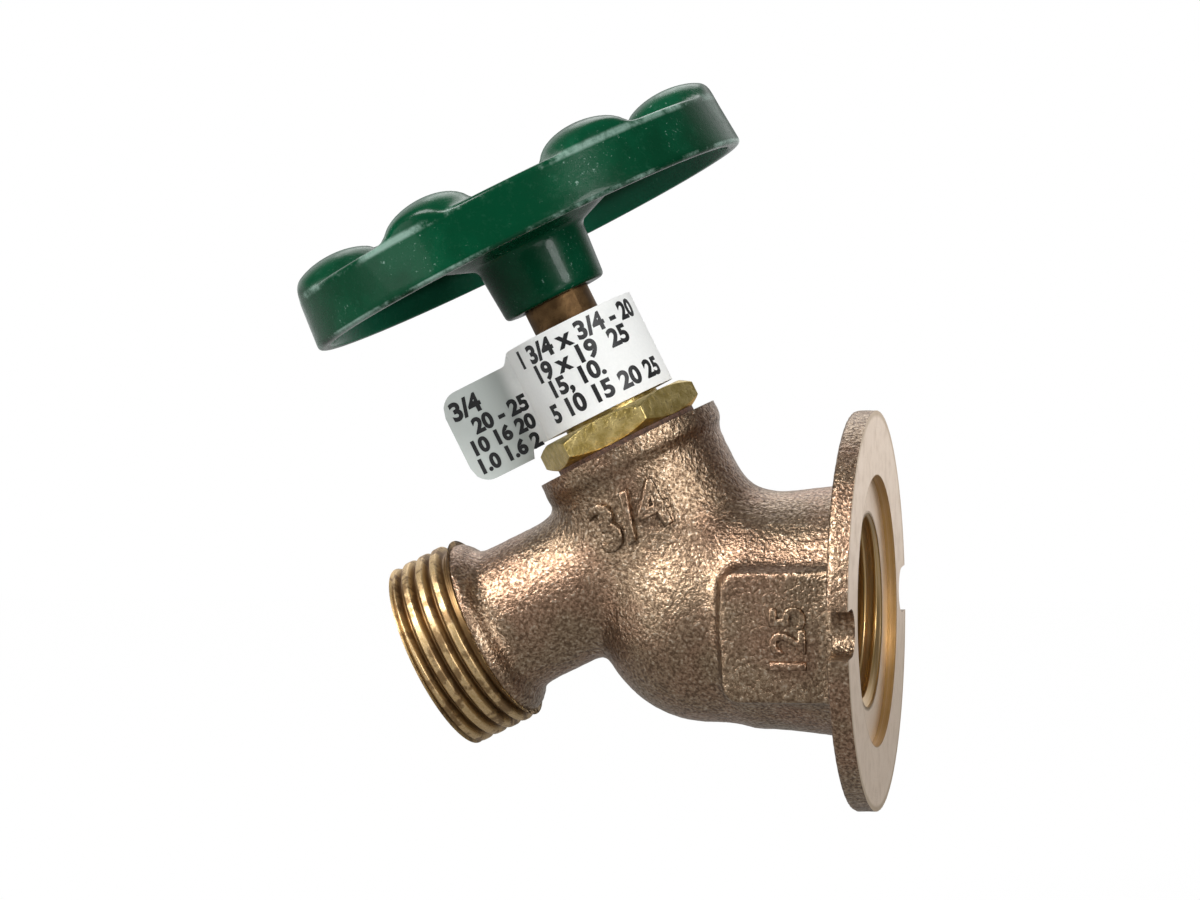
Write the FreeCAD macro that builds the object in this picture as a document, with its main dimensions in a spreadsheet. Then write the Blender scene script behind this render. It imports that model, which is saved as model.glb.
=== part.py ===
import FreeCAD, Part
import math
import os
import Sketcher

# Sillcock: an outdoor wall tap with a female pipe inlet, a male hose outlet
# and a compression valve worked by a handwheel.
#
# Frame, in millimetres: the origin is the centre of the inlet on the back
# face of the wall flange. +X points out of the inlet, towards the wall, +Z is
# up, and the tap is alike on both sides of the plane Y = 0.
#
# The stem axis leans away from the wall and crosses the inlet axis. The spout
# axis crosses the stem axis at the valve centre. Pieces on the stem are drawn
# about their own Z axis, with the valve centre at zero height.

SIZES = {
    # where the three axes lie
    "stem_tilt": 25.7,
    "spout_tilt": 25.7,
    "stem_setback": 23.2,
    "valve_rise": 11.0,
    # wall flange
    "flange_diameter": 54.7,
    "flange_thickness": 3.0,
    "flange_edge_round": 0.7,
    "flange_root_round": 1.6,
    "recess_diameter": 37.1,
    "recess_depth": 1.3,
    "slot_width": 6.4,
    "slot_spacing": 48.3,
    # inlet hub, its pipe thread and the two raised pads on its sides
    "hub_diameter": 33.4,
    "hub_length": 19.5,
    "hub_shoulder": 2.6,
    "inlet_root_diameter": 26.4,
    "inlet_crest_diameter": 24.0,
    "inlet_pitch": 1.814,
    "inlet_crest_width": 0.4,
    "inlet_thread_depth": 14.0,
    "inlet_thread_rings": 5,
    "passage_diameter": 17.0,
    "passage_length": 21.9,
    "pad_width": 14.6,
    "pad_height": 17.8,
    "pad_drop": 1.6,
    "pad_proud": 0.5,
    "pad_corner": 2.5,
    # globe, neck and valve chamber
    "globe_diameter": 30.6,
    "neck_diameter": 24.4,
    "neck_height": 14.7,
    "neck_rim_diameter": 26.2,
    "neck_rim_depth": 2.4,
    "neck_bore_diameter": 19.1,
    "neck_bore_depth": 8.4,
    "chamber_diameter": 18.0,
    "seat_drop": 3.0,
    "seat_rise": 1.5,
    "seat_diameter": 14.6,
    "seat_bore_diameter": 12.0,
    "seat_bore_depth": 10.0,
    "partition_thickness": 2.5,
    # spout and hose thread
    "spout_length": 37.8,
    "spout_diameter": 20.2,
    "spout_bore_diameter": 15.0,
    "shoulder_diameter": 25.2,
    "shoulder_start": 25.6,
    "shoulder_slope": 2.2,
    "hose_thread_start": 29.0,
    "hose_thread_diameter": 26.9,
    "hose_root_diameter": 24.1,
    "hose_pitch": 2.209,
    "hose_crest_width": 0.5,
    "hose_thread_rings": 4,
    "hose_lead": 1.0,
    # bonnet and its gasket
    "gasket_thickness": 0.7,
    "gasket_width": 0.7,
    "bonnet_flats": 20.64,
    "bonnet_hex_height": 3.9,
    "bonnet_bevel": 1.0,
    "bonnet_turn": 31.0,
    "bonnet_shank_diameter": 19.0,
    "bonnet_shank_length": 7.9,
    "bonnet_top_diameter": 13.8,
    "bonnet_top_height": 8.2,
    "stem_thread_diameter": 11.1,
    "stem_thread_room": 17.2,
    # stem, seat washer and washer screw
    "stem_diameter": 9.5,
    "stem_thread_length": 16.2,
    "washer_diameter": 13.6,
    "washer_thickness": 3.0,
    "washer_hole_diameter": 3.8,
    "cup_wall": 0.7,
    "cup_depth": 1.5,
    "cup_base": 2.0,
    "washer_screw_diameter": 3.4,
    "washer_screw_length": 8.0,
    "washer_screw_head_diameter": 6.8,
    "washer_screw_head_height": 1.5,
    "screw_slot_width": 0.9,
    "screw_slot_depth": 0.8,
    # packing and packing nut
    "packing_washer_thickness": 0.8,
    "packing_height": 3.2,
    "packing_nut_flats": 15.9,
    "packing_nut_height": 13.0,
    "packing_nut_top": 1.4,
    "packing_nut_turn": 31.0,
    # paper label wrapped round the packing nut
    "label_thickness": 0.25,
    "label_height": 13.3,
    "label_raise": 0.3,
    "label_flag_reach": 21.6,
    "label_flag_drop": 1.4,
    "label_flag_corner": 2.8,
    "label_flag_gap": 0.3,
    # handwheel, above its skirt's lower edge
    "wheel_height": 44.8,
    "wheel_diameter": 64.8,
    "wheel_top_diameter": 63.6,
    "skirt_height": 7.5,
    "skirt_wall": 2.0,
    "rim_plate_thickness": 2.5,
    "rim_inner_diameter": 41.0,
    "dish_depth": 5.0,
    "wheel_edge_round": 0.9,
    "lobe_count": 7,
    "lobe_turn": 2.0,
    "lobe_circle": 51.4,
    "lobe_length": 13.0,
    "lobe_width": 12.2,
    "lobe_rise": 3.6,
    "hub_drop": 7.9,
    "wheel_hub_diameter": 16.0,
    "wheel_hub_foot_diameter": 14.9,
    "stem_square": 7.0,
    "stem_square_length": 8.6,
    "handle_screw_diameter": 4.6,
    "handle_screw_length": 7.5,
    "handle_screw_head_diameter": 9.4,
    "handle_screw_head_height": 2.4,
    "handle_screw_slot_width": 1.2,
    "handle_screw_slot_depth": 1.1,
    # clearances between pieces
    "running_clearance": 0.05,
    "thread_clearance": 0.05,
    "seating_clearance": 0.05,
}

doc = FreeCAD.newDocument("sillcock")
sheet = doc.addObject("Spreadsheet::Sheet", "Sizes")
for row, (alias, value) in enumerate(SIZES.items(), start=1):
    sheet.set("A%d" % row, alias)
    sheet.set("B%d" % row, str(value))
    sheet.setAlias("B%d" % row, alias)
doc.recompute()


def size(text):
    """The value of an expression in which each size is written by its name."""
    return float(sheet.evalExpression(text))


def bound(text):
    """The same expression as another object of the document reads it."""
    words = []
    word = ""
    for letter in text + " ":
        if letter.isalnum() or letter == "_":
            word += letter
            continue
        words.append("Sizes." + word if word in SIZES else word)
        words.append(letter)
        word = ""
    return "".join(words).strip()


# Helpers for pieces, sketches and features

def new_piece(name):
    piece = doc.addObject("PartDesign::Body", name)
    piece.Label = name
    return piece


VALVE_X = "-stem_setback - valve_rise * sin(stem_tilt)"
VALVE_Z = "valve_rise * cos(stem_tilt)"


def stand_on_stem(piece):
    """Turn a piece's own Z axis onto the stem axis, from the valve centre."""
    leaning = FreeCAD.Rotation(FreeCAD.Vector(0, -1, 0), 1)
    piece.Placement = FreeCAD.Placement(FreeCAD.Vector(), leaning)
    piece.setExpression(".Placement.Base.x", bound(VALVE_X))
    piece.setExpression(".Placement.Base.z", bound(VALVE_Z))
    piece.setExpression(".Placement.Rotation.Angle", bound("stem_tilt"))


def sketch_on(piece, name, plane="XZ_Plane", shift=("0", "0", "0"), turn="0"):
    sketch = piece.newObject("Sketcher::SketchObject", name)
    for feature in piece.Origin.OriginFeatures:
        if feature.Role == plane:
            sketch.AttachmentSupport = [(feature, "")]
    sketch.MapMode = "FlatFace"
    for letter, text in zip("xyz", shift):
        if text != "0":
            sketch.setExpression(".AttachmentOffset.Base." + letter, bound(text))
    if turn != "0":
        sketch.setExpression(".AttachmentOffset.Rotation.Angle", bound(turn))
    return sketch


def hold(sketch, kind, ends, text):
    """Hold a distance or a radius at an expression's value."""
    number = sketch.addConstraint(Sketcher.Constraint(kind, *ends, size(text)))
    sketch.setExpression("Constraints[%d]" % number, bound(text))


def place_point(sketch, line, end, across, along):
    """Hold one end of a line at its distances from the sketch's axes."""
    hold(sketch, "DistanceX", (-1, 1, line, end), across)
    hold(sketch, "DistanceY", (-1, 1, line, end), along)


def outline(sketch, corners):
    """A closed outline of straight lines through corners given as expressions."""
    points = [FreeCAD.Vector(size(a), size(b), 0) for a, b in corners]
    count = len(corners)
    first = sketch.GeometryCount
    for number in range(count):
        line = Part.LineSegment(points[number], points[(number + 1) % count])
        sketch.addGeometry(line, False)
    for number in range(count):
        following = first + (number + 1) % count
        joined = Sketcher.Constraint("Coincident", first + number, 2, following, 1)
        sketch.addConstraint(joined)
        place_point(sketch, first + number, 1, *corners[number])
    return sketch


def circle(sketch, radius, across="0", along="0"):
    centre = FreeCAD.Vector(size(across), size(along), 0)
    number = sketch.addGeometry(Part.Circle(centre, FreeCAD.Vector(0, 0, 1), size(radius)))
    place_point(sketch, number, 3, across, along)
    hold(sketch, "Radius", (number,), radius)
    return sketch


def polygon(sketch, flats, turn):
    """A hexagon by its width across flats, with one flat turned from the sketch's Y axis."""
    corners = []
    for number in range(6):
        angle = "(%s + %d)" % (turn, 30 + 60 * number)
        reach = "(%s) / (2 * cos(30))" % flats
        corners.append(("%s * cos(%s)" % (reach, angle), "%s * sin(%s)" % (reach, angle)))
    return outline(sketch, corners)


def spin(piece, kind, name, sketch, axis="V_Axis"):
    feature = piece.newObject("PartDesign::" + kind, name)
    feature.Profile = sketch
    feature.ReferenceAxis = (sketch, [axis])
    feature.Angle = 360
    return feature


def raise_from(piece, kind, name, sketch, length, reverse=False):
    feature = piece.newObject("PartDesign::" + kind, name)
    feature.Profile = sketch
    feature.setExpression("Length", bound(length))
    feature.Reversed = reverse
    return feature


def row_of(piece, name, feature, sketch, axis, pitch, count, reverse=False):
    """Copies of a feature along one of its sketch's axes."""
    row = piece.newObject("PartDesign::LinearPattern", name)
    row.Originals = [feature]
    row.Direction = (sketch, [axis])
    row.Reversed = reverse
    row.setExpression("Length", bound("(%s) * (%s - 1)" % (pitch, count)))
    row.setExpression("Occurrences", bound(count))
    piece.Tip = row
    return row


def ring_of(piece, name, feature, count):
    """Copies of a feature round the piece's own Z axis."""
    ring = piece.newObject("PartDesign::PolarPattern", name)
    ring.Originals = [feature]
    for origin_feature in piece.Origin.OriginFeatures:
        if origin_feature.Role == "Z_Axis":
            ring.Axis = (origin_feature, [""])
    ring.Angle = 360
    ring.setExpression("Occurrences", bound(count))
    piece.Tip = ring
    return ring


def tab(sketch, right, left, low, high, corner):
    """An upright rectangle with its two left corners rounded."""
    radius = size(corner)
    ends = {"right": size(right), "left": size(left), "low": size(low), "high": size(high)}
    inner = ends["left"] + radius

    def line(x1, y1, x2, y2):
        ends_of_line = FreeCAD.Vector(x1, y1, 0), FreeCAD.Vector(x2, y2, 0)
        return sketch.addGeometry(Part.LineSegment(*ends_of_line), False)

    def arc(y, first, last):
        centre = FreeCAD.Vector(inner, y, 0)
        whole = Part.Circle(centre, FreeCAD.Vector(0, 0, 1), radius)
        return sketch.addGeometry(Part.ArcOfCircle(whole, first, last), False)

    foot = line(ends["right"], ends["low"], inner, ends["low"])
    lower = arc(ends["low"] + radius, math.pi, 1.5 * math.pi)
    side = line(ends["left"], ends["low"] + radius, ends["left"], ends["high"] - radius)
    upper = arc(ends["high"] - radius, 0.5 * math.pi, math.pi)
    top = line(inner, ends["high"], ends["right"], ends["high"])
    back = line(ends["right"], ends["high"], ends["right"], ends["low"])
    for level in (foot, top):
        sketch.addConstraint(Sketcher.Constraint("Horizontal", level))
    for upright in (side, back):
        sketch.addConstraint(Sketcher.Constraint("Vertical", upright))
    for first, second in ((top, back), (back, foot)):
        sketch.addConstraint(Sketcher.Constraint("Coincident", first, 2, second, 1))
    for first, end, second, start in ((foot, 2, lower, 2), (side, 1, lower, 1),
                                      (side, 2, upper, 2), (top, 1, upper, 1)):
        sketch.addConstraint(Sketcher.Constraint("Tangent", first, end, second, start))
    hold(sketch, "DistanceX", (-1, 1, foot, 1), right)
    hold(sketch, "DistanceY", (-1, 1, foot, 1), low)
    hold(sketch, "DistanceY", (-1, 1, top, 2), high)
    hold(sketch, "DistanceX", (-1, 1, side, 1), left)
    hold(sketch, "Radius", (lower,), corner)
    hold(sketch, "Radius", (upper,), corner)
    return sketch


# Body: one bronze casting with the flange, inlet hub, globe, neck, spout and valve seat

body = new_piece("body")

flange = outline(sketch_on(body, "flange_section"), [
    ("0", "0"),
    ("0", "flange_diameter / 2"),
    ("-flange_thickness + flange_edge_round", "flange_diameter / 2"),
    ("-flange_thickness", "flange_diameter / 2 - flange_edge_round"),
    ("-flange_thickness", "hub_diameter / 2 + flange_root_round"),
    ("-flange_thickness - flange_root_round", "hub_diameter / 2"),
    ("-hub_length + hub_shoulder", "hub_diameter / 2"),
    ("-hub_length", "hub_diameter / 2 - hub_shoulder"),
    ("-hub_length", "0"),
])
spin(body, "Revolution", "flange_and_hub", flange, "H_Axis")

globe = body.newObject("PartDesign::AdditiveSphere", "globe")
globe.setExpression("Radius", bound("globe_diameter / 2"))
globe.setExpression(".Placement.Base.x", bound("-stem_setback"))

ON_STEM = (VALVE_X, VALVE_Z, "0")
neck = outline(sketch_on(body, "neck_section", shift=ON_STEM, turn="stem_tilt"), [
    ("0", "-valve_rise"),
    ("neck_diameter / 2", "-valve_rise"),
    ("neck_diameter / 2", "neck_height - neck_rim_depth"),
    ("neck_rim_diameter / 2", "neck_height - neck_rim_depth / 2"),
    ("neck_rim_diameter / 2", "neck_height"),
    ("0", "neck_height"),
])
spin(body, "Revolution", "neck", neck)

spout = outline(sketch_on(body, "spout_section", shift=ON_STEM, turn="spout_tilt"), [
    ("0", "0"),
    ("0", "spout_diameter / 2"),
    ("-shoulder_start", "spout_diameter / 2"),
    ("-shoulder_start - shoulder_slope", "shoulder_diameter / 2"),
    ("-hose_thread_start", "shoulder_diameter / 2"),
    ("-hose_thread_start", "hose_thread_diameter / 2"),
    ("-spout_length + hose_lead", "hose_thread_diameter / 2"),
    ("-spout_length", "hose_thread_diameter / 2 - hose_lead"),
    ("-spout_length", "0"),
])
spin(body, "Revolution", "spout", spout, "H_Axis")

pad_left = "-flange_thickness - pad_width"
pad_low = "-pad_drop - pad_height / 2"
pad_high = "-pad_drop + pad_height / 2"
pads = tab(sketch_on(body, "pad_outline"), "-flange_thickness", pad_left, pad_low, pad_high,
           "pad_corner")
pad = raise_from(body, "Pad", "side_pads", pads, "hub_diameter + 2 * pad_proud")
pad.Midplane = True

# Passages: inlet, valve chamber, seat and spout bore

inlet_bore = outline(sketch_on(body, "inlet_section"), [
    ("0", "0"),
    ("0", "recess_diameter / 2"),
    ("-recess_depth", "recess_diameter / 2"),
    ("-recess_depth", "inlet_root_diameter / 2"),
    ("-recess_depth - inlet_pitch", "inlet_crest_diameter / 2"),
    ("-inlet_thread_depth", "inlet_crest_diameter / 2"),
    ("-inlet_thread_depth", "passage_diameter / 2"),
    ("-passage_length", "passage_diameter / 2"),
    ("-passage_length", "0"),
])
spin(body, "Groove", "inlet_bore", inlet_bore, "H_Axis")

turn_back = body.newObject("PartDesign::SubtractiveSphere", "passage_end")
turn_back.setExpression("Radius", bound("passage_diameter / 2"))
turn_back.setExpression(".Placement.Base.x", bound("-passage_length"))

chamber_floor = "-seat_drop - seat_rise"
partition = outline(sketch_on(body, "partition_section", shift=ON_STEM, turn="stem_tilt"), [
    ("0", chamber_floor + " - partition_thickness"),
    ("chamber_diameter / 2 + seat_rise", chamber_floor + " - partition_thickness"),
    ("chamber_diameter / 2 + seat_rise", chamber_floor),
    ("0", chamber_floor),
])
spin(body, "Revolution", "partition", partition)

chamber = outline(sketch_on(body, "chamber_section", shift=ON_STEM, turn="stem_tilt"), [
    ("seat_diameter / 2", chamber_floor),
    ("chamber_diameter / 2", chamber_floor),
    ("chamber_diameter / 2", "neck_height - neck_bore_depth"),
    ("neck_bore_diameter / 2", "neck_height - neck_bore_depth"),
    ("neck_bore_diameter / 2", "neck_height"),
    ("0", "neck_height"),
    ("0", "-seat_drop"),
    ("seat_diameter / 2", "-seat_drop"),
])
spin(body, "Groove", "valve_chamber", chamber)

seat_bore = outline(sketch_on(body, "seat_section", shift=ON_STEM, turn="stem_tilt"), [
    ("0", "-seat_drop - seat_bore_depth"),
    ("seat_bore_diameter / 2", "-seat_drop - seat_bore_depth"),
    ("seat_bore_diameter / 2", "-seat_drop"),
    ("0", "-seat_drop"),
])
spin(body, "Groove", "seat_bore", seat_bore)

spout_bore = outline(sketch_on(body, "spout_bore_section", shift=ON_STEM, turn="spout_tilt"), [
    ("-chamber_diameter / 2 + seat_rise", "0"),
    ("-chamber_diameter / 2 + seat_rise", "spout_bore_diameter / 2"),
    ("-spout_length", "spout_bore_diameter / 2"),
    ("-spout_length", "0"),
])
spin(body, "Groove", "spout_bore", spout_bore, "H_Axis")

# Threads as separate rings, one for each turn

inlet_crest = "-recess_depth - 1.5 * inlet_pitch"
inlet_ring = outline(sketch_on(body, "inlet_thread_section"), [
    (inlet_crest + " + inlet_crest_width / 2 - inlet_pitch", "inlet_crest_diameter / 2"),
    (inlet_crest + " - inlet_pitch * 0.6", "inlet_root_diameter / 2"),
    (inlet_crest + " - inlet_pitch * 0.4", "inlet_root_diameter / 2"),
    (inlet_crest + " - inlet_crest_width / 2", "inlet_crest_diameter / 2"),
])
inlet_groove = spin(body, "Groove", "inlet_thread_turn", inlet_ring, "H_Axis")
row_of(body, "inlet_thread", inlet_groove, inlet_ring, "H_Axis", "inlet_pitch",
       "inlet_thread_rings", reverse=True)

hose_crest = "-spout_length + hose_lead"
hose_ring = outline(sketch_on(body, "hose_thread_section", shift=ON_STEM, turn="spout_tilt"), [
    (hose_crest + " + hose_crest_width", "hose_thread_diameter / 2"),
    (hose_crest + " + hose_pitch * 0.5", "hose_root_diameter / 2"),
    (hose_crest + " + hose_pitch * 0.5 + hose_crest_width", "hose_root_diameter / 2"),
    (hose_crest + " + hose_pitch", "hose_thread_diameter / 2"),
])
hose_groove = spin(body, "Groove", "hose_thread_turn", hose_ring, "H_Axis")
row_of(body, "hose_thread", hose_groove, hose_ring, "H_Axis", "hose_pitch",
       "hose_thread_rings - 1")

# Flange slots for the two wall screws, open at the rim

slots = sketch_on(body, "slot_outline", plane="YZ_Plane")
for side in ("", "-"):
    outline(slots, [
        (side + "slot_spacing / 2", "-slot_width / 2"),
        (side + "flange_diameter / 2 " + ("-" if side else "+") + " slot_width", "-slot_width / 2"),
        (side + "flange_diameter / 2 " + ("-" if side else "+") + " slot_width", "slot_width / 2"),
        (side + "slot_spacing / 2", "slot_width / 2"),
    ])
slot_cut = raise_from(body, "Pocket", "slots", slots, "2 * flange_thickness")
slot_cut.Midplane = True
rounds = sketch_on(body, "slot_rounds", plane="YZ_Plane")
for side in ("", "-"):
    circle(rounds, "slot_width / 2", side + "slot_spacing / 2", "0")
round_cut = raise_from(body, "Pocket", "slot_ends", rounds, "2 * flange_thickness")
round_cut.Midplane = True
body.Tip = round_cut

# Bonnet: a brass turning with a hexagon, threaded below for the neck and above for the nut

gasket_base = "neck_height"
bonnet_seat = "(neck_height + gasket_thickness)"
hex_top = "(neck_height + gasket_thickness + bonnet_hex_height)"
bonnet_top = "(neck_height + gasket_thickness + bonnet_hex_height + bonnet_top_height)"
bonnet_foot = "(neck_height + gasket_thickness - bonnet_shank_length)"

bonnet = new_piece("bonnet")
stand_on_stem(bonnet)
bonnet_hex = polygon(sketch_on(bonnet, "hexagon", plane="XY_Plane", shift=("0", "0", bonnet_seat)),
                     "bonnet_flats", "bonnet_turn")
raise_from(bonnet, "Pad", "hexagon_body", bonnet_hex, "bonnet_hex_height")
hex_corner = "bonnet_flats / (2 * cos(30))"
for end, edge, inward in (("top", hex_top, " - "), ("foot", bonnet_seat, " + ")):
    bevel = outline(sketch_on(bonnet, "hexagon_bevel_" + end), [
        (hex_corner + " - 1.7 * bonnet_bevel", edge),
        (hex_corner + " + 1.7 * bonnet_bevel", edge),
        (hex_corner + " + 1.7 * bonnet_bevel", edge + inward + "2 * bonnet_bevel"),
    ])
    spin(bonnet, "Groove", "hexagon_chamfer_" + end, bevel)
shank = outline(sketch_on(bonnet, "shank_section"), [
    ("0", bonnet_foot),
    ("bonnet_shank_diameter / 2", bonnet_foot),
    ("bonnet_shank_diameter / 2", bonnet_seat),
    ("bonnet_top_diameter / 2", bonnet_seat),
    ("bonnet_top_diameter / 2", bonnet_top),
    ("0", bonnet_top),
])
spin(bonnet, "Revolution", "shank_and_top", shank)
stem_way = outline(sketch_on(bonnet, "stem_way_section"), [
    ("0", bonnet_foot),
    ("stem_thread_diameter / 2 + thread_clearance", bonnet_foot),
    ("stem_thread_diameter / 2 + thread_clearance", bonnet_foot + " + stem_thread_room"),
    ("stem_diameter / 2 + running_clearance", bonnet_foot + " + stem_thread_room"),
    ("stem_diameter / 2 + running_clearance", bonnet_top),
    ("0", bonnet_top),
])
spin(bonnet, "Groove", "stem_way", stem_way)


def turned(name, corners, lean=True):
    """A piece turned about its own Z axis, with one outline."""
    piece = new_piece(name)
    if lean:
        stand_on_stem(piece)
    spin(piece, "Revolution", name + "_turning", outline(sketch_on(piece, name + "_section"), corners))
    return piece


def ring(name, inner, outer, low, high):
    """A plain ring on the stem axis."""
    return turned(name, [(inner, low), (outer, low), (outer, high), (inner, high)])


ring("bonnet_gasket", "bonnet_shank_diameter / 2 + seating_clearance",
     "bonnet_shank_diameter / 2 + seating_clearance + gasket_width", gasket_base, bonnet_seat)

# Stem: a brass spindle with a cup for the seat washer, a coarse thread and a square end

cup_floor = "(washer_thickness - seat_drop)"
screw_tip = cup_floor + " + washer_screw_length - washer_thickness"
square_base = "(wheel_height - hub_drop)"
stem_end = "(wheel_height - hub_drop + stem_square_length)"
stem = turned("stem", [
    ("washer_screw_diameter / 2", cup_floor),
    ("washer_diameter / 2 + running_clearance", cup_floor),
    ("washer_diameter / 2 + running_clearance", cup_floor + " - cup_depth"),
    ("washer_diameter / 2 + running_clearance + cup_wall", cup_floor + " - cup_depth"),
    ("washer_diameter / 2 + running_clearance + cup_wall", cup_floor + " + cup_base"),
    ("stem_thread_diameter / 2", cup_floor + " + cup_base"),
    ("stem_thread_diameter / 2", cup_floor + " + cup_base + stem_thread_length"),
    ("stem_diameter / 2", cup_floor + " + cup_base + stem_thread_length"),
    ("stem_diameter / 2", stem_end),
    ("0", stem_end),
    ("0", screw_tip),
    ("washer_screw_diameter / 2", screw_tip),
])
flats = sketch_on(stem, "square_flats", plane="XY_Plane", shift=("0", "0", square_base))
circle(flats, "stem_diameter")
half = "(stem_square / 2)"
outline(flats, [(half, half), ("-" + half, half), ("-" + half, "-" + half), (half, "-" + half)])
raise_from(stem, "Pocket", "square_end", flats, "stem_square_length", reverse=True)
tapped = circle(sketch_on(stem, "screw_hole", plane="XY_Plane", shift=("0", "0", stem_end)),
                "handle_screw_diameter / 2")
raise_from(stem, "Pocket", "tapped_hole", tapped, "handle_screw_length")
stem.Tip = doc.getObject("tapped_hole")

# Seat washer and the screw that holds it in the stem's cup

ring("seat_washer", "washer_hole_diameter / 2", "washer_diameter / 2", "-seat_drop", cup_floor)

washer_screw = turned("washer_screw", [
    ("0", "-seat_drop - washer_screw_head_height"),
    ("washer_screw_head_diameter / 2", "-seat_drop - washer_screw_head_height"),
    ("washer_screw_head_diameter / 2", "-seat_drop"),
    ("washer_screw_diameter / 2", "-seat_drop"),
    ("washer_screw_diameter / 2", "-seat_drop + washer_screw_length"),
    ("0", "-seat_drop + washer_screw_length"),
])


def screw_slot(piece, diameter, width, depth, height, reverse):
    """A straight driver slot across a screw's head."""
    sketch = sketch_on(piece, piece.Name + "_slot", plane="XY_Plane", shift=("0", "0", height))
    long_side = "(%s)" % diameter
    short_side = "(%s / 2)" % width
    outline(sketch, [
        (long_side, short_side), ("-" + long_side, short_side),
        ("-" + long_side, "-" + short_side), (long_side, "-" + short_side),
    ])
    cut = raise_from(piece, "Pocket", piece.Name + "_driver_slot", sketch, depth, reverse)
    piece.Tip = cut


screw_slot(washer_screw, "washer_screw_head_diameter", "screw_slot_width", "screw_slot_depth",
           "-seat_drop - washer_screw_head_height", True)

# Packing and the nut that presses it round the stem

washer_top = "(%s + packing_washer_thickness)" % bonnet_top
packing_top = "(%s + packing_height)" % washer_top
nut_top = "(%s + packing_nut_top)" % packing_top
nut_bore = "bonnet_top_diameter / 2 + thread_clearance"
ring("packing_washer", "stem_diameter / 2 + running_clearance", "bonnet_top_diameter / 2",
     bonnet_top, washer_top)
ring("stem_packing", "stem_diameter / 2 + running_clearance", "bonnet_top_diameter / 2",
     washer_top, packing_top)

packing_nut = new_piece("packing_nut")
stand_on_stem(packing_nut)
nut_foot = "(%s - packing_nut_height)" % nut_top
nut_hex = polygon(sketch_on(packing_nut, "nut_hexagon", plane="XY_Plane", shift=("0", "0", nut_foot)),
                  "packing_nut_flats", "packing_nut_turn")
raise_from(packing_nut, "Pad", "nut_hexagon_body", nut_hex, "packing_nut_height")
nut_way = outline(sketch_on(packing_nut, "nut_way_section"), [
    ("0", nut_foot),
    (nut_bore, nut_foot),
    (nut_bore, packing_top),
    ("stem_diameter / 2 + running_clearance", packing_top),
    ("stem_diameter / 2 + running_clearance", nut_top),
    ("0", nut_top),
])
spin(packing_nut, "Groove", "nut_way", nut_way)

# Paper label: one strip round the nut, its two ends stuck together as a flag

label = new_piece("paper_label")
stand_on_stem(label)
label_inner = "(packing_nut_flats / (2 * cos(30)) + seating_clearance)"
label_outer = "(packing_nut_flats / (2 * cos(30)) + seating_clearance + label_thickness)"
label_top = "(%s + label_raise)" % nut_top
label_foot = "(%s - label_height)" % label_top
wrap = sketch_on(label, "wrap_outline", plane="XY_Plane", shift=("0", "0", label_foot))
circle(wrap, label_outer)
circle(wrap, label_inner)
raise_from(label, "Pad", "wrap", wrap, "label_height")
flag_high = label_top + " - label_flag_drop"
flag_low = label_foot + " - label_flag_drop"
flag_root = "-(%s + label_thickness / 4)" % label_inner
clear_of_hexagon = "-(bonnet_flats / (2 * cos(30)) + label_flag_gap)"
bridge = outline(sketch_on(label, "flag_bridge_outline"), [
    (flag_root, flag_high),
    (clear_of_hexagon + " - label_flag_gap", flag_high),
    (clear_of_hexagon + " - label_flag_gap", label_foot),
    (flag_root, label_foot),
])
flag = tab(sketch_on(label, "flag_outline"), clear_of_hexagon, "-label_flag_reach", flag_low,
           flag_high, "label_flag_corner")
for name, sketch in (("flag_bridge", bridge), ("flag", flag)):
    flag_sheet = raise_from(label, "Pad", name, sketch, "2 * label_thickness")
    flag_sheet.Midplane = True
label.Tip = flag_sheet

# Handwheel: a painted casting with a skirt, finger lobes round its top and a hub that drops below it

wheel = new_piece("handwheel")
stand_on_stem(wheel)
rim_top = "(wheel_height + skirt_height)"
dish = "(wheel_height + skirt_height - dish_depth)"
plate = "rim_plate_thickness"
square_room = "(stem_square / 2 + running_clearance)"
section = outline(sketch_on(wheel, "wheel_section"), [
    ("wheel_diameter / 2", "wheel_height"),
    ("wheel_top_diameter / 2", rim_top + " - wheel_edge_round"),
    ("wheel_top_diameter / 2 - wheel_edge_round", rim_top),
    ("rim_inner_diameter / 2", rim_top),
    ("wheel_hub_diameter / 2", dish),
    ("0", dish),
    ("0", "wheel_height - hub_drop"),
    ("wheel_hub_foot_diameter / 2", "wheel_height - hub_drop"),
    ("wheel_hub_diameter / 2", dish + " - " + plate),
    ("rim_inner_diameter / 2", rim_top + " - " + plate),
    ("wheel_top_diameter / 2 - skirt_wall", rim_top + " - " + plate),
    ("wheel_diameter / 2 - skirt_wall", "wheel_height"),
])
spin(wheel, "Revolution", "wheel_casting", section)
lobe = wheel.newObject("PartDesign::AdditiveEllipsoid", "lobe")
lobe.Angle1 = 0
lobe.setExpression("Radius1", bound("lobe_rise + rim_plate_thickness / 2"))
lobe.setExpression("Radius2", bound("lobe_width / 2"))
lobe.setExpression("Radius3", bound("lobe_length / 2"))
lobe.setExpression(".Placement.Base.x", bound("lobe_circle / 2 * cos(lobe_turn)"))
lobe.setExpression(".Placement.Base.y", bound("lobe_circle / 2 * sin(lobe_turn)"))
lobe.setExpression(".Placement.Base.z", bound(rim_top + " - rim_plate_thickness / 2"))
lobe.Placement.Rotation = FreeCAD.Rotation(FreeCAD.Vector(0, 0, 1), 1)
lobe.setExpression(".Placement.Rotation.Angle", bound("lobe_turn"))
ring_of(wheel, "lobes", lobe, "lobe_count")
socket = sketch_on(wheel, "socket_outline", plane="XY_Plane", shift=("0", "0", square_base))
outline(socket, [
    (square_room, square_room), ("-" + square_room, square_room),
    ("-" + square_room, "-" + square_room), (square_room, "-" + square_room),
])
raise_from(wheel, "Pocket", "square_socket", socket, "stem_square_length", reverse=True)
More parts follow.
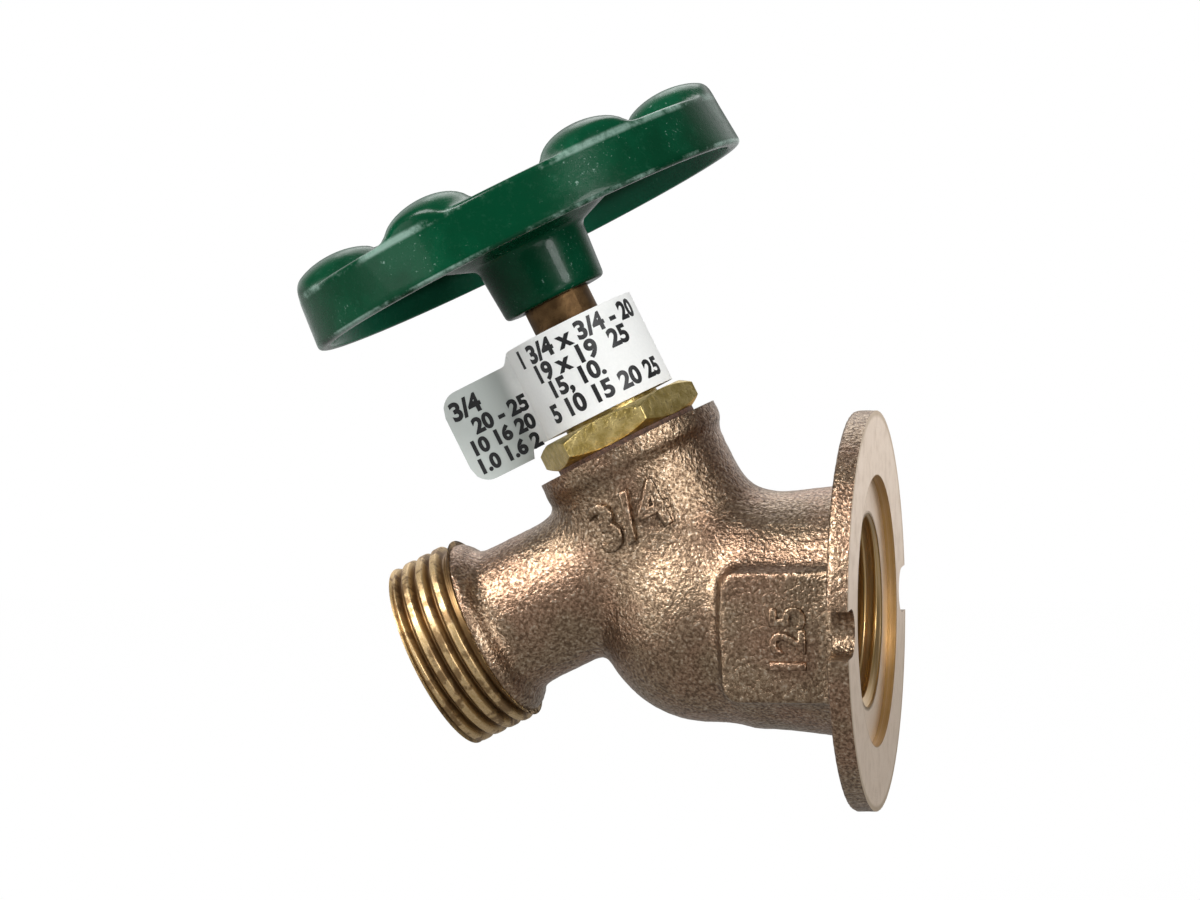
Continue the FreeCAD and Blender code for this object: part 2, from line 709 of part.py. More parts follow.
screw_way = circle(sketch_on(wheel, "screw_way", plane="XY_Plane", shift=("0", "0", dish)),
                   "handle_screw_diameter / 2 + seating_clearance")
through = raise_from(wheel, "Pocket", "screw_passage", screw_way, "dish_depth + hub_drop")
wheel.Tip = through

# Handle screw, down through the dish into the stem

handle_screw = turned("handle_screw", [
    ("0", dish + " - handle_screw_length"),
    ("handle_screw_diameter / 2 - seating_clearance", dish + " - handle_screw_length"),
    ("handle_screw_diameter / 2 - seating_clearance", dish),
    ("handle_screw_head_diameter / 2", dish),
    ("handle_screw_head_diameter / 2", dish + " + handle_screw_head_height / 2"),
    ("handle_screw_head_diameter / 4", dish + " + handle_screw_head_height"),
    ("0", dish + " + handle_screw_head_height"),
])
screw_slot(handle_screw, "handle_screw_head_diameter", "handle_screw_slot_width",
           "handle_screw_slot_depth", dish + " + handle_screw_head_height", False)

# Recompute, test every object and write one file for each piece

doc.recompute()
for thing in doc.Objects:
    if "Invalid" in thing.State or "Error" in thing.State:
        raise RuntimeError("%s could not be computed: %s" % (thing.Name, thing.State))

os.makedirs("parts", exist_ok=True)
for thing in doc.Objects:
    if thing.TypeId != "PartDesign::Body":
        continue
    shape = thing.Shape
    if shape.isNull() or not shape.isValid():
        raise RuntimeError("%s has no sound shape" % thing.Label)
    print("%-14s solids %d  volume %9.1f mm3" % (thing.Label, len(shape.Solids), shape.Volume))
    shape.exportStep("parts/%s.step" % thing.Label)
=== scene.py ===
import math

import bmesh
import bpy
from mathutils import Matrix, Vector


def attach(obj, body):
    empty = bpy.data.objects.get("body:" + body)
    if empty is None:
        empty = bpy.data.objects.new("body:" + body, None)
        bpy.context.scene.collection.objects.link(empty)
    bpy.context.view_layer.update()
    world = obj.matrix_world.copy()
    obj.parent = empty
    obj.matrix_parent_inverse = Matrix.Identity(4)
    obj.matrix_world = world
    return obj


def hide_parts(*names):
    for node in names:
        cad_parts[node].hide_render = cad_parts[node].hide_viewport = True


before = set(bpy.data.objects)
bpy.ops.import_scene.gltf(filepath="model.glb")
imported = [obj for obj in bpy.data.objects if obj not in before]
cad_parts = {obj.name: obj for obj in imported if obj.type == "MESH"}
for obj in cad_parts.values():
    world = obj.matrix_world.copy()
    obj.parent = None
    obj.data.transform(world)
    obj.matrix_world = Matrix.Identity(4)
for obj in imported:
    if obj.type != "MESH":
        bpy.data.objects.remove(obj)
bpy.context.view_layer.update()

# The studio
# A white wall stands behind the tap with a dark gap straight behind it, under a dim
# ceiling, and the room on the camera's side is dark. Five soft lamps stand round the
# tap. The camera looks from the side, a little towards the flange's back.

MM = 0.001
PHOTO_WIDTH = 1200
FOCAL_PIXELS = 4350
SENSOR_WIDTH = 36.0
CAMERA_DISTANCE = 600 * MM
CAMERA_AIM = Vector((-38.24, 0.0, 22.21)) * MM
CAMERA_AZIMUTH = math.radians(11.95)
CAMERA_ELEVATION = math.radians(4.88)
CAMERA_ROLL = math.radians(-1.3)
FLOOR_HEIGHT = -60 * MM
FLOOR_SIZE = 1.0
WHITE = (1.0, 1.0, 1.0, 1.0)
FLOOR_GREY = (0.26, 0.26, 0.255, 1.0)
FLOOR_GLOW = 1.02
FLOOR_SEEN = 0.97
FLOOR_MIRRORED = 0.08
WALL_STRENGTH = 1.12
CEILING_STRENGTH = 0.18
ROOM_STRENGTH = 0.09
GAP_SHADE = 0.90
GROUND_SHADE = 0.85


class Term:
    """A number or colour on its way through a node tree, with sums written as in Python."""

    def __init__(self, tree, socket):
        self.tree = tree
        self.socket = socket

    def math(self, operation, *others):
        values = dict(enumerate((self,) + others))
        return node(self.tree, "ShaderNodeMath", {"operation": operation}, values)

    def __add__(self, other):
        return self.math("ADD", other)

    def __radd__(self, other):
        return self.math("ADD", other)

    def __sub__(self, other):
        return self.math("SUBTRACT", other)

    def __rsub__(self, other):
        return node(self.tree, "ShaderNodeMath", {"operation": "SUBTRACT"}, {0: other, 1: self})

    def __mul__(self, other):
        return self.math("MULTIPLY", other)

    def __rmul__(self, other):
        return self.math("MULTIPLY", other)

    def __truediv__(self, other):
        return self.math("DIVIDE", other)

    def __gt__(self, other):
        return self.math("GREATER_THAN", other)

    def __lt__(self, other):
        return self.math("LESS_THAN", other)


def node(tree, kind, settings=(), sockets=(), output=0):
    """One node: its settings first, then the values or links of its sockets."""
    made = tree.nodes.new(kind)
    for name, value in dict(settings).items():
        setattr(made, name, value)
    for name, value in dict(sockets).items():
        if isinstance(value, Term):
            tree.links.new(value.socket, made.inputs[name])
        else:
            made.inputs[name].default_value = value
    return Term(tree, made.outputs[output])


def lead_out(result, kind):
    """Lead a result to the output node of its tree."""
    result.tree.links.new(result.socket, result.tree.nodes.new(kind).inputs[0])


def parts_of(vector):
    """The three numbers of a vector."""
    return [node(vector.tree, "ShaderNodeSeparateXYZ", (), {0: vector}, axis) for axis in range(3)]


def limit(value, low=0.0, high=1.0):
    """Zero below one value, one above another, and smooth between them."""
    return node(value.tree, "ShaderNodeMapRange", {"interpolation_type": "SMOOTHSTEP"},
                {"Value": value, "From Min": low, "From Max": high})


backward = Vector((math.sin(CAMERA_AZIMUTH) * math.cos(CAMERA_ELEVATION),
                   -math.cos(CAMERA_AZIMUTH) * math.cos(CAMERA_ELEVATION),
                   math.sin(CAMERA_ELEVATION)))
level = Vector((math.cos(CAMERA_AZIMUTH), math.sin(CAMERA_AZIMUTH), 0.0))
above = backward.cross(level)
rightward = level * math.cos(CAMERA_ROLL) + above * math.sin(CAMERA_ROLL)
upward = above * math.cos(CAMERA_ROLL) - level * math.sin(CAMERA_ROLL)
lens = bpy.data.cameras.new("camera")
lens.sensor_width = SENSOR_WIDTH
lens.lens = SENSOR_WIDTH * FOCAL_PIXELS / PHOTO_WIDTH
lens.clip_start = 0.01
camera = bpy.data.objects.new("camera", lens)
bpy.context.scene.collection.objects.link(camera)
camera.matrix_world = Matrix.Translation(CAMERA_AIM + backward * CAMERA_DISTANCE) @ Matrix(
    (rightward, upward, backward)).transposed().to_4x4()
bpy.context.scene.camera = camera
bpy.context.scene.view_settings.view_transform = "Standard"


def lamp(name, place, width, power):
    """A soft round lamp that shines at the tap, with its width in metres and its watts."""
    light = bpy.data.lights.new(name, "AREA")
    light.shape = "DISK"
    light.size = width
    light.energy = power
    lit = bpy.data.objects.new(name, light)
    bpy.context.scene.collection.objects.link(lit)
    lit.matrix_world = Matrix.Translation(place) @ (
        Vector(place) - CAMERA_AIM).to_track_quat("Z", "Y").to_matrix().to_4x4()


lamp("key_lamp", (-0.57, -0.55, 0.70), 0.42, 15.5)
lamp("fill_lamp", (0.62, -0.62, 0.38), 0.34, 6.4)
lamp("far_lamp", (-0.20, 0.60, 0.55), 0.45, 1.0)
lamp("low_lamp", (-0.66, -0.42, -0.04), 0.55, 2.6)
lamp("right_lamp", (0.48, -0.76, -0.03), 0.40, 1.7)

world = bpy.data.worlds.new("walls")
bpy.context.scene.world = world
world.use_nodes = True
sky = world.node_tree
sky.nodes.clear()
direction = node(sky, "ShaderNodeTexCoord", (), (), "Generated")
towards_camera = node(sky, "ShaderNodeVectorMath", {"operation": "DOT_PRODUCT"},
                      {0: direction, 1: tuple(backward)}, "Value")
height = parts_of(direction)[2]
behind = 0.0 - towards_camera
dark_gap = limit(behind, 0.90, 0.96) * limit(height, -0.02, 0.07)
walls = WALL_STRENGTH * limit(behind, 0.30, 0.90) * (1.0 - GAP_SHADE * dark_gap)
ceiling = CEILING_STRENGTH * limit(height, 0.25, 0.85)
ground = 1.0 - GROUND_SHADE * limit(0.0 - height, -0.1, 0.4)
tent = (ROOM_STRENGTH + walls + ceiling) * ground
seen = node(sky, "ShaderNodeLightPath", (), (), "Is Camera Ray")
strength = tent + seen * (1.0 - tent)
backdrop = node(sky, "ShaderNodeBackground", (), {"Color": WHITE, "Strength": strength})
lead_out(backdrop, "ShaderNodeOutputWorld")

half = FLOOR_SIZE / 2
corners = [(-half, -half, FLOOR_HEIGHT), (half, -half, FLOOR_HEIGHT),
           (half, half, FLOOR_HEIGHT), (-half, half, FLOOR_HEIGHT)]
floor_face = bpy.data.meshes.new("floor")
floor_face.from_pydata(corners, [], [(0, 1, 2, 3)])
floor = bpy.data.objects.new("floor", floor_face)
bpy.context.scene.collection.objects.link(floor)
pale = bpy.data.materials.new("pale_floor")
pale.use_nodes = True
wash = pale.node_tree
wash.nodes.clear()
matt = node(wash, "ShaderNodeBsdfDiffuse", (), {"Color": FLOOR_GREY})
glow = node(wash, "ShaderNodeEmission", (), {"Color": WHITE, "Strength": FLOOR_GLOW})
seen = node(wash, "ShaderNodeLightPath", (), (), "Is Camera Ray")
mirrored = node(wash, "ShaderNodeLightPath", (), (), "Is Glossy Ray")
glowing = (seen * FLOOR_SEEN).math("MAXIMUM", mirrored * FLOOR_MIRRORED)
floor_look = node(wash, "ShaderNodeMixShader", (), {0: glowing, 1: matt, 2: glow})
lead_out(floor_look, "ShaderNodeOutputMaterial")
floor_face.materials.append(pale)

# The casting
# One sand casting in bronze: the wall flange, the hub for the pipe, the globe,
# the neck and the spout. Its back face, recess and bores are machined.

STEM_LEAN = math.radians(25.7)
STEM = Vector((-math.sin(STEM_LEAN), 0.0, math.cos(STEM_LEAN)))
ACROSS = Vector((math.cos(STEM_LEAN), 0.0, math.sin(STEM_LEAN)))
SIDE = Vector((0.0, 1.0, 0.0))
SPOUT = -ACROSS
VALVE = Vector((-27.970, 0.0, 9.912))
GLOBE_X = -23.2
VOXEL = 0.40
CAST_BOX = ((-62.4, -28.8, -28.8), (3.2, 28.8, 32.8))
GRAIN_SCALE = 1.05
HUB_EDGE = 4.0
NECK_DEPTH = 11.0
RIM_HALF = 1.9
RIM_DROP = 0.4
COLLAR_HALF = 1.9
COLLAR_EDGE = 1.7
PAD_HALF = 8.9
PAD_X = -10.0
PAD_Z = -1.6
PAD_CORNER = 2.5
PAD_FACE_BLEND = 1.3
PAD_BLEND = 3.0
FLANGE_BLEND = 2.8
RIM_BLEND = 3.6
COLLAR_BLEND = 4.2
FINE_EDGE = 0.3
CAST_EDGE = 0.6


def in_mm(place):
    """A place in metres, turned to millimetres."""
    return node(place.tree, "ShaderNodeVectorMath", {"operation": "SCALE"}, {0: place, "Scale": 1 / MM})


def object_mm(tree):
    """A point of the piece, in millimetres in the tap's frame."""
    return in_mm(node(tree, "ShaderNodeTexCoord", (), (), "Object"))


def longer(a, b):
    """The long side of a right triangle, from its two short sides."""
    return (a * a + b * b).math("SQRT")


def rounded_box(a, b, half_a, half_b, edge):
    """How far a point of a section is outside a rectangle with rounded corners."""
    over_a = a.math("ABSOLUTE") - (half_a - edge)
    over_b = b.math("ABSOLUTE") - (half_b - edge)
    outside = longer(over_a.math("MAXIMUM", 0.0), over_b.math("MAXIMUM", 0.0))
    return outside + over_a.math("MAXIMUM", over_b).math("MINIMUM", 0.0) - edge


def stem_place(x, z):
    """Distances from the valve centre, across and along the leaning stem."""
    across = (x - VALVE.x) * ACROSS.x + (z - VALVE.z) * ACROSS.z
    along = (x - VALVE.x) * STEM.x + (z - VALVE.z) * STEM.z
    return across, along


def noise(point, scale, detail=3.0, roughness=0.55):
    """An even cloud of random values round a half."""
    return node(point.tree, "ShaderNodeTexNoise", (),
                {"Vector": point, "Scale": scale, "Detail": detail, "Roughness": roughness})


def grain(point):
    """The lumps that the sand leaves on the casting."""
    return noise(point, GRAIN_SCALE, 2.0, 0.6)


def new_tree(name, sizes):
    """A Geometry Nodes tree with a named input for each of a piece's sizes."""
    tree = bpy.data.node_groups.new(name, "GeometryNodeTree")
    tree.interface.new_socket("Geometry", in_out="OUTPUT", socket_type="NodeSocketGeometry")
    for label, value in sizes.items():
        kind = "NodeSocketInt" if isinstance(value, int) else "NodeSocketFloat"
        tree.interface.new_socket(label, in_out="INPUT", socket_type=kind)
    given = tree.nodes.new("NodeGroupInput")
    return tree, {label: Term(tree, given.outputs[label]) for label in sizes}


def settled(thing):
    """The plain mesh that an object makes with its modifiers, or its words, carried out."""
    result = thing.evaluated_get(bpy.context.evaluated_depsgraph_get())
    return bpy.data.meshes.new_from_object(result)


def grown(name, tree, shape, finish, sizes):
    """End a tree, run it once with its sizes, and keep the result as a plain mesh."""
    real = node(tree, "GeometryNodeRealizeInstances", (), {0: shape})
    dressed = node(tree, "GeometryNodeSetMaterial", (), {"Geometry": real, "Material": finish})
    lead_out(dressed, "NodeGroupOutput")
    seed = bpy.data.objects.new(name + "_seed", bpy.data.meshes.new(name + "_seed"))
    bpy.context.scene.collection.objects.link(seed)
    growth = seed.modifiers.new("growth", "NODES")
    growth.node_group = tree
    for item in tree.interface.items_tree:
        if item.in_out == "INPUT":
            growth[item.identifier] = sizes[item.name]
    mesh = settled(seed)
    bpy.data.objects.remove(seed)
    return placed(name, mesh)


def placed(name, mesh, finish=None, smooth=True):
    """An object at the origin that holds a mesh."""
    mesh.name = name
    if finish:
        mesh.materials.clear()
        mesh.materials.append(finish)
    mesh.polygons.foreach_set("use_smooth", [smooth] * len(mesh.polygons))
    piece = bpy.data.objects.new(name, mesh)
    bpy.context.scene.collection.objects.link(piece)
    return piece


def finish_of(name):
    """A new material and its empty tree."""
    material = bpy.data.materials.new(name)
    material.use_nodes = True
    material.node_tree.nodes.clear()
    return material, material.node_tree


def shade(tree, colour, roughness, metallic=0.0, bump=None, depth=0.05, **fixed):
    """Close a material with a Principled shader."""
    sockets = {"Base Color": colour, "Roughness": roughness, "Metallic": metallic}
    if bump is not None:
        sockets["Normal"] = node(tree, "ShaderNodeBump", (),
                                 {"Height": bump, "Distance": depth * MM, "Strength": 1.0})
    for label, value in fixed.items():
        sockets[label.replace("_", " ").title().replace("Ior", "IOR")] = value
    surface = node(tree, "ShaderNodeBsdfPrincipled", (), sockets)
    lead_out(surface, "ShaderNodeOutputMaterial")


def blend(factor, first, second):
    """A colour between two, by a mask."""
    return node(factor.tree, "ShaderNodeMix", {"data_type": "RGBA"},
                {0: factor, 6: first, 7: second}, 2)


PIT_DIRT_AND_SHADE_BRONZE = (0.088, 0.053, 0.033, 1.0)
BRONZE = (0.280, 0.198, 0.128, 1.0)
PINK_BRONZE = (0.305, 0.190, 0.124, 1.0)
RUBBED_AND_SPARKLE_BRONZE = (0.540, 0.445, 0.345, 1.0)

cast_bronze, tree = finish_of("cast_bronze")
point = object_mm(tree)
lumps = grain(point)
sand = noise(point, 2.3, 3.0, 0.55)
grit = noise(point, 3.4, 4.0, 0.65)
stain = noise(point, 0.10, 3.0, 0.5)
tops = limit(sand * 0.8 + grit * 0.2, 0.38, 0.56)
colour = blend(limit(stain, 0.40, 0.62), BRONZE, PINK_BRONZE)
# Darker in the sand's pits: partly real dirt in the hollows, partly painted shade that stands in for the
# pits' shadows.
colour = blend((1.0 - tops) * 0.84, colour, PIT_DIRT_AND_SHADE_BRONZE)
# Paler on the sand's tops: partly real rubbing, partly a painted highlight that stands in for light glinting
# on the peaks.
colour = blend(limit(sand * 0.7 + grit * 0.3, 0.54, 0.66) * 0.75, colour, RUBBED_AND_SPARKLE_BRONZE)
roughness = 0.36 - 0.08 * tops + 0.08 * grit
shade(tree, colour, roughness, 1.0, sand + lumps * 0.4, 0.17)

CASTING = {
    "Hub Radius": 15.5, "Hub Length": 19.5, "Hub Taper": 0.115,
    "Flange Radius": 27.35, "Flange Thickness": 3.0, "Globe Radius": 15.3,
    "Neck Radius": 12.2, "Neck Height": 14.7, "Rim Radius": 12.9,
    "Spout Radius": 10.1, "Collar Radius": 12.6, "Collar Start": 29.0, "Pad Reach": 17.2,
    "Small Blend": 3.2, "Large Blend": 6.5, "Grain Height": 0.24, "Machining Allowance": 1.5,
}
tree, given = new_tree("sand_casting", CASTING)
point = in_mm(node(tree, "GeometryNodeInputPosition"))
x, y, z = parts_of(point)
from_axis = longer(y, z)
across, along = stem_place(x, z)
from_stem = longer(across, y)
from_spout = longer(along, y)
down_spout = 0.0 - across
thick = given["Flange Thickness"]
spare = given["Machining Allowance"]
flange = rounded_box(from_axis, x + (thick - spare) / 2, given["Flange Radius"],
                     (thick + spare) / 2, CAST_EDGE)
hub_half = given["Hub Length"] / 2
hub = rounded_box(from_axis - given["Hub Taper"] * (x + given["Hub Length"]), x + hub_half,
                  given["Hub Radius"], hub_half, HUB_EDGE)
globe = longer(longer(x - GLOBE_X, y), z) - given["Globe Radius"]
neck_half = (given["Neck Height"] + spare + NECK_DEPTH) / 2
neck = rounded_box(from_stem, along - neck_half + NECK_DEPTH, given["Neck Radius"], neck_half, FINE_EDGE)
rim = rounded_box(from_stem, along - given["Neck Height"] + RIM_DROP, given["Rim Radius"],
                  RIM_HALF, CAST_EDGE)
spout_half = given["Collar Start"] / 2
tube = rounded_box(from_spout, down_spout - spout_half, given["Spout Radius"], spout_half, FINE_EDGE)
collar = rounded_box(from_spout, down_spout - given["Collar Start"], given["Collar Radius"],
                     COLLAR_HALF, COLLAR_EDGE)
pad = rounded_box(x - PAD_X, z - PAD_Z, PAD_HALF, PAD_HALF, PAD_CORNER)
pad = pad.math("SMOOTH_MAX", y.math("ABSOLUTE") - given["Pad Reach"], PAD_FACE_BLEND)
small = given["Small Blend"]
large = given["Large Blend"]
mass = hub.math("SMOOTH_MIN", globe, large)
mass = mass.math("SMOOTH_MIN", tube.math("SMOOTH_MIN", collar, COLLAR_BLEND), small)
mass = mass.math("SMOOTH_MIN", neck, large)
mass = mass.math("SMOOTH_MIN", flange, FLANGE_BLEND)
mass = mass.math("SMOOTH_MIN", pad, PAD_BLEND)
mass = mass.math("SMOOTH_MIN", rim, RIM_BLEND)
mass = mass - given["Grain Height"] * (grain(point) - 0.5)
low, high = (tuple(number * MM for number in corner) for corner in CAST_BOX)
counts = [round((b - a) / VOXEL) for a, b in zip(*CAST_BOX)]
cloud = node(tree, "GeometryNodeVolumeCube", (),
             {"Density": 1.0 - mass, "Min": low, "Max": high, "Resolution X": counts[0],
              "Resolution Y": counts[1], "Resolution Z": counts[2]})
shell = node(tree, "GeometryNodeVolumeToMesh", (), {"Volume": cloud, "Threshold": 1.0})
casting = grown("casting", tree, shell, cast_bronze, CASTING)

MACHINED_PALE = (0.900, 0.710, 0.540, 1.0)
MACHINED_GOLD = (0.460, 0.300, 0.120, 1.0)
SMEARED = (0.50, 0.34, 0.20, 1.0)
NICKED = (0.20, 0.12, 0.07, 1.0)
CUT_BRIGHT = (0.80, 0.68, 0.56, 1.0)
CUTTER_STEPS = 144
PASSAGE = 8.5
PASSAGE_STOP = -21.9
PIPE_BORE = 13.2
PIPE_BORE_STOP = -14
RECESS = 18.55
RECESS_FLOOR = -1.3
SEAT_BORE = 6
SEAT_BORE_STOP = -13
SEAT_RADIUS = 7.3
SEAT_FACE = -3.0
CHAMBER = 9
CHAMBER_FLOOR = -4.5
CHAMBER_TOP = 6.3
NECK_BORE = 9.6
NECK_FACE = 14.7
SPOUT_BORE = 7.5
SPOUT_END = 28.7
PARTITION = 10.5
PARTITION_LOW = -7.0
PARTITION_HIGH = 22
SLOT_CENTRE = 24.15
SLOT_HALF = 3.2
SLOT_MOUTH = 34.0
SLOT_CUT_FROM = 2.0
SLOT_CUT_TO = -6.0
PAST_FLANGE = 45
PAST_BACK = 9
PAST_RIM = 17
PAST_NECK = 24
PAST_COLLAR = 20
PAST_SPOUT = 40
CASTING_SHARP = math.radians(42)

faced_bronze, tree = finish_of("faced_bronze")
point = object_mm(tree)
x, y, z = parts_of(point)
from_axis = longer(y, z)
feed = node(tree, "ShaderNodeCombineXYZ", (), {0: from_axis * 4.0, 1: x * 4.0})
lathe_lines = noise(feed, 1.0, 3.0)
smear = noise(point, 0.35, 4.0, 0.6)
nicks = noise(point, 3.1, 5.0, 0.7)
# The outward cut faces are pale while the recess wall is kept darker gold, though it is the same cut metal:
# painted shade on the recess wall.
lands = limit(x, RECESS_FLOOR - 0.3, RECESS_FLOOR - 0.1) * limit(from_axis, PIPE_BORE + 0.1, PIPE_BORE + 0.4)
recess_wall = 1.0 - limit((from_axis - RECESS).math("ABSOLUTE"), 0.04, 0.14)
rubbed_edge = limit(from_axis, 26.3, 26.9)
colour = blend(lands * (1.0 - recess_wall) * (1.0 - 0.7 * rubbed_edge), MACHINED_GOLD, MACHINED_PALE)
colour = blend(limit(smear, 0.40, 0.75) * 0.35, colour, SMEARED)
colour = blend(limit(nicks, 0.62, 0.70) * 0.5, colour, NICKED)
colour = blend(limit(lathe_lines, 0.45, 0.70) * 0.25, colour, CUT_BRIGHT)
roughness = 0.22 + 0.14 * smear + 0.10 * lathe_lines
shade(tree, colour, roughness, 0.92, lathe_lines * 0.6 + nicks * 0.25, 0.03)


def made_of(work, name):
    """The finished mesh of a bmesh."""
    mesh = bpy.data.meshes.new(name)
    work.to_mesh(mesh)
    work.free()
    return mesh


def turned(name, section, start, axis, side=SIDE, steps=96):
    """A closed section of (radius, height) corners, in millimetres, turned round an axis."""
    other = axis.cross(side)
    mesh = bmesh.new()
    rings = []
    for radius, reach in section:
        ring = []
        for step in range(steps if radius > 0.001 else 1):
            angle = math.tau * step / steps
            outward = side * math.cos(angle) + other * math.sin(angle)
            ring.append(mesh.verts.new((start + axis * reach + outward * radius) * MM))
        rings.append(ring)
    for first, second in zip(rings, rings[1:] + rings[:1]):
        for step in range(steps):
            corners = [first[step % len(first)], first[(step + 1) % len(first)],
                       second[(step + 1) % len(second)], second[step % len(second)]]
            corners = list(dict.fromkeys(corners))
            if len(corners) > 2:
                mesh.faces.new(corners)
    bmesh.ops.recalc_face_normals(mesh, faces=mesh.faces)
    return made_of(mesh, name)


def rounded(corners, pieces=5):
    """A section whose corners, given as (radius, height, rounding), are drawn as arcs."""
    section = []
    for number, (radius, reach, rounding) in enumerate(corners):
        here = Vector((radius, reach))
        if not rounding:
            section.append(tuple(here))
            continue
        before = Vector(corners[number - 1][:2]) - here
        after = Vector(corners[(number + 1) % len(corners)][:2]) - here
        cut = rounding / math.tan(before.angle(after) / 2)
        start = here + before.normalized() * min(cut, before.length * 0.49)
        end = here + after.normalized() * min(cut, after.length * 0.49)
        for step in range(pieces + 1):
            part = step / pieces
            bend = start * (1 - part) ** 2 + here * 2 * part * (1 - part) + end * part ** 2
            section.append(tuple(bend))
    return section


def cut_from(piece, cutters):
    """Machine a piece: each cutter takes its shape away and leaves its own finish."""
    for cutter in cutters:
        cut = piece.modifiers.new(cutter.name, "BOOLEAN")
        cut.operation = "DIFFERENCE"
        cut.solver = "MANIFOLD"
        cut.object = cutter
        cut.material_mode = "TRANSFER"
    mesh = settled(piece)
    name = piece.name
    for thing in [piece] + cutters:
        bpy.data.objects.remove(thing)
    return placed(name, mesh)


ORIGIN = Vector((0.0, 0.0, 0.0))
OUTWARD = Vector((1.0, 0.0, 0.0))
passage_end = [(PASSAGE * math.sin(turn), PASSAGE_STOP - PASSAGE * math.cos(turn))
               for turn in [math.pi / 2 * step / 12 for step in range(13)]]
pipe_cut = turned("pipe_cut", passage_end + [
    (PASSAGE, PIPE_BORE_STOP), (PIPE_BORE, PIPE_BORE_STOP), (PIPE_BORE, RECESS_FLOOR),
    (RECESS, RECESS_FLOOR), (RECESS, 0), (PAST_FLANGE, 0), (PAST_FLANGE, PAST_BACK), (0, PAST_BACK),
], ORIGIN, OUTWARD, steps=CUTTER_STEPS)
partition = turned("partition", [
    (0, PARTITION_LOW), (PARTITION, PARTITION_LOW), (PARTITION, PARTITION_HIGH), (0, PARTITION_HIGH),
], VALVE, STEM)
stem_cut = turned("stem_cut", [
    (0, SEAT_BORE_STOP), (SEAT_BORE, SEAT_BORE_STOP), (SEAT_BORE, SEAT_FACE), (SEAT_RADIUS, SEAT_FACE),
    (SEAT_RADIUS, CHAMBER_FLOOR), (CHAMBER, CHAMBER_FLOOR), (CHAMBER, CHAMBER_TOP),
    (NECK_BORE, CHAMBER_TOP), (NECK_BORE, NECK_FACE), (PAST_RIM, NECK_FACE),
    (PAST_RIM, PAST_NECK), (0, PAST_NECK),
], VALVE, STEM, steps=CUTTER_STEPS)
spout_cut = turned("spout_cut", [
    (0, SPOUT_BORE), (SPOUT_BORE, SPOUT_BORE), (SPOUT_BORE, SPOUT_END), (PAST_COLLAR, SPOUT_END),
    (PAST_COLLAR, PAST_SPOUT), (0, PAST_SPOUT),
], VALVE, SPOUT, steps=CUTTER_STEPS)
cutters = [placed(mesh.name, mesh, faced_bronze) for mesh in (pipe_cut, stem_cut, spout_cut)]
cutters[0] = cut_from(cutters[0], [placed("partition", partition, faced_bronze)])
for name, way in (("slot_cut_left", -1.0), ("slot_cut_right", 1.0)):
    outline = []
    for step in range(17):
        turn = math.pi * step / 16
        bend = Vector((0, -way * math.sin(turn), math.cos(turn))) * SLOT_HALF
        outline.append(Vector((0, way * SLOT_CENTRE, 0)) + bend)
    outline += [Vector((0, way * SLOT_MOUTH, -SLOT_HALF)), Vector((0, way * SLOT_MOUTH, SLOT_HALF))]
    mesh = bmesh.new()
    near, far = ([mesh.verts.new((corner + OUTWARD * reach) * MM) for corner in outline]
                 for reach in (SLOT_CUT_FROM, SLOT_CUT_TO))
    mesh.faces.new(near)
    mesh.faces.new(far)
    for number in range(len(outline)):
        following = (number + 1) % len(outline)
        mesh.faces.new((near[number], near[following], far[following], far[number]))
    bmesh.ops.recalc_face_normals(mesh, faces=mesh.faces)
    cutters.append(placed(name, made_of(mesh, name), cast_bronze))
casting = cut_from(casting, cutters)
casting.data.set_sharp_from_angle(angle=CASTING_SHARP)
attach(casting, "housing")
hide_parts("body")

# The numerals on the casting
# Plain numbers stand a little proud of the neck and of the raised pad. They are
# part of the same sand casting, so their edges are soft and their finish is the casting's.

FIGURE_DEEP = 1.05
CAPITAL_SHARE = 0.70
NECK_FIGURE = {"height": 6.4, "bold": -0.08, "soften": 0.36}
PAD_FIGURE = {"height": 4.6, "bold": -0.10, "soften": 0.34}
NECK_FIGURE_STEP = 0.8
NECK_FIGURE_RADIUS = 12.35
NECK_FIGURE_TURN = -97
NECK_FIGURE_REACH = 5.6
PAD_FIGURE_PLACE = Vector((-9.6, -17.1, -1.6))


def lettered(name, words, height, bold, thick, soften=0.0):
    """Words as a solid mesh in millimetres, reading along X with their face to +Z."""
    curve = bpy.data.curves.new(name, "FONT")
    curve.body = words
    curve.size = height / CAPITAL_SHARE
    curve.offset = bold
    curve.extrude = thick / 2
    curve.bevel_depth = soften
    curve.bevel_resolution = 2
    curve.resolution_u = 6
    written = bpy.data.objects.new(name, curve)
    bpy.context.scene.collection.objects.link(written)
    mesh = settled(written)
    bpy.data.objects.remove(written)
    mesh.name = name
    work = bmesh.new()
    work.from_mesh(mesh)
    bmesh.ops.remove_doubles(work, verts=work.verts, dist=0.0005)
    work.to_mesh(mesh)
    work.free()
    return mesh


def centred(mesh):
    """Move a flat mesh so that the middle of its box, seen along Z, is at zero."""
    xs = [vertex.co.x for vertex in mesh.vertices]
    ys = [vertex.co.y for vertex in mesh.vertices]
    mesh.transform(Matrix.Translation((-(min(xs) + max(xs)) / 2, -(min(ys) + max(ys)) / 2, 0)))
    return mesh


def sliced(mesh, step):
    """Cut a mesh across X at even steps, so that it can bend."""
    work = bmesh.new()
    work.from_mesh(mesh)
    low = min(vertex.co.x for vertex in work.verts)
    high = max(vertex.co.x for vertex in work.verts)
    for number in range(math.floor(low / step), math.ceil(high / step)):
        everything = list(work.verts) + list(work.edges) + list(work.faces)
        bmesh.ops.bisect_plane(work, geom=everything, dist=0.00001,
                               plane_co=(number * step, 0, 0), plane_no=(1, 0, 0))
    work.to_mesh(mesh)
    work.free()
    return mesh


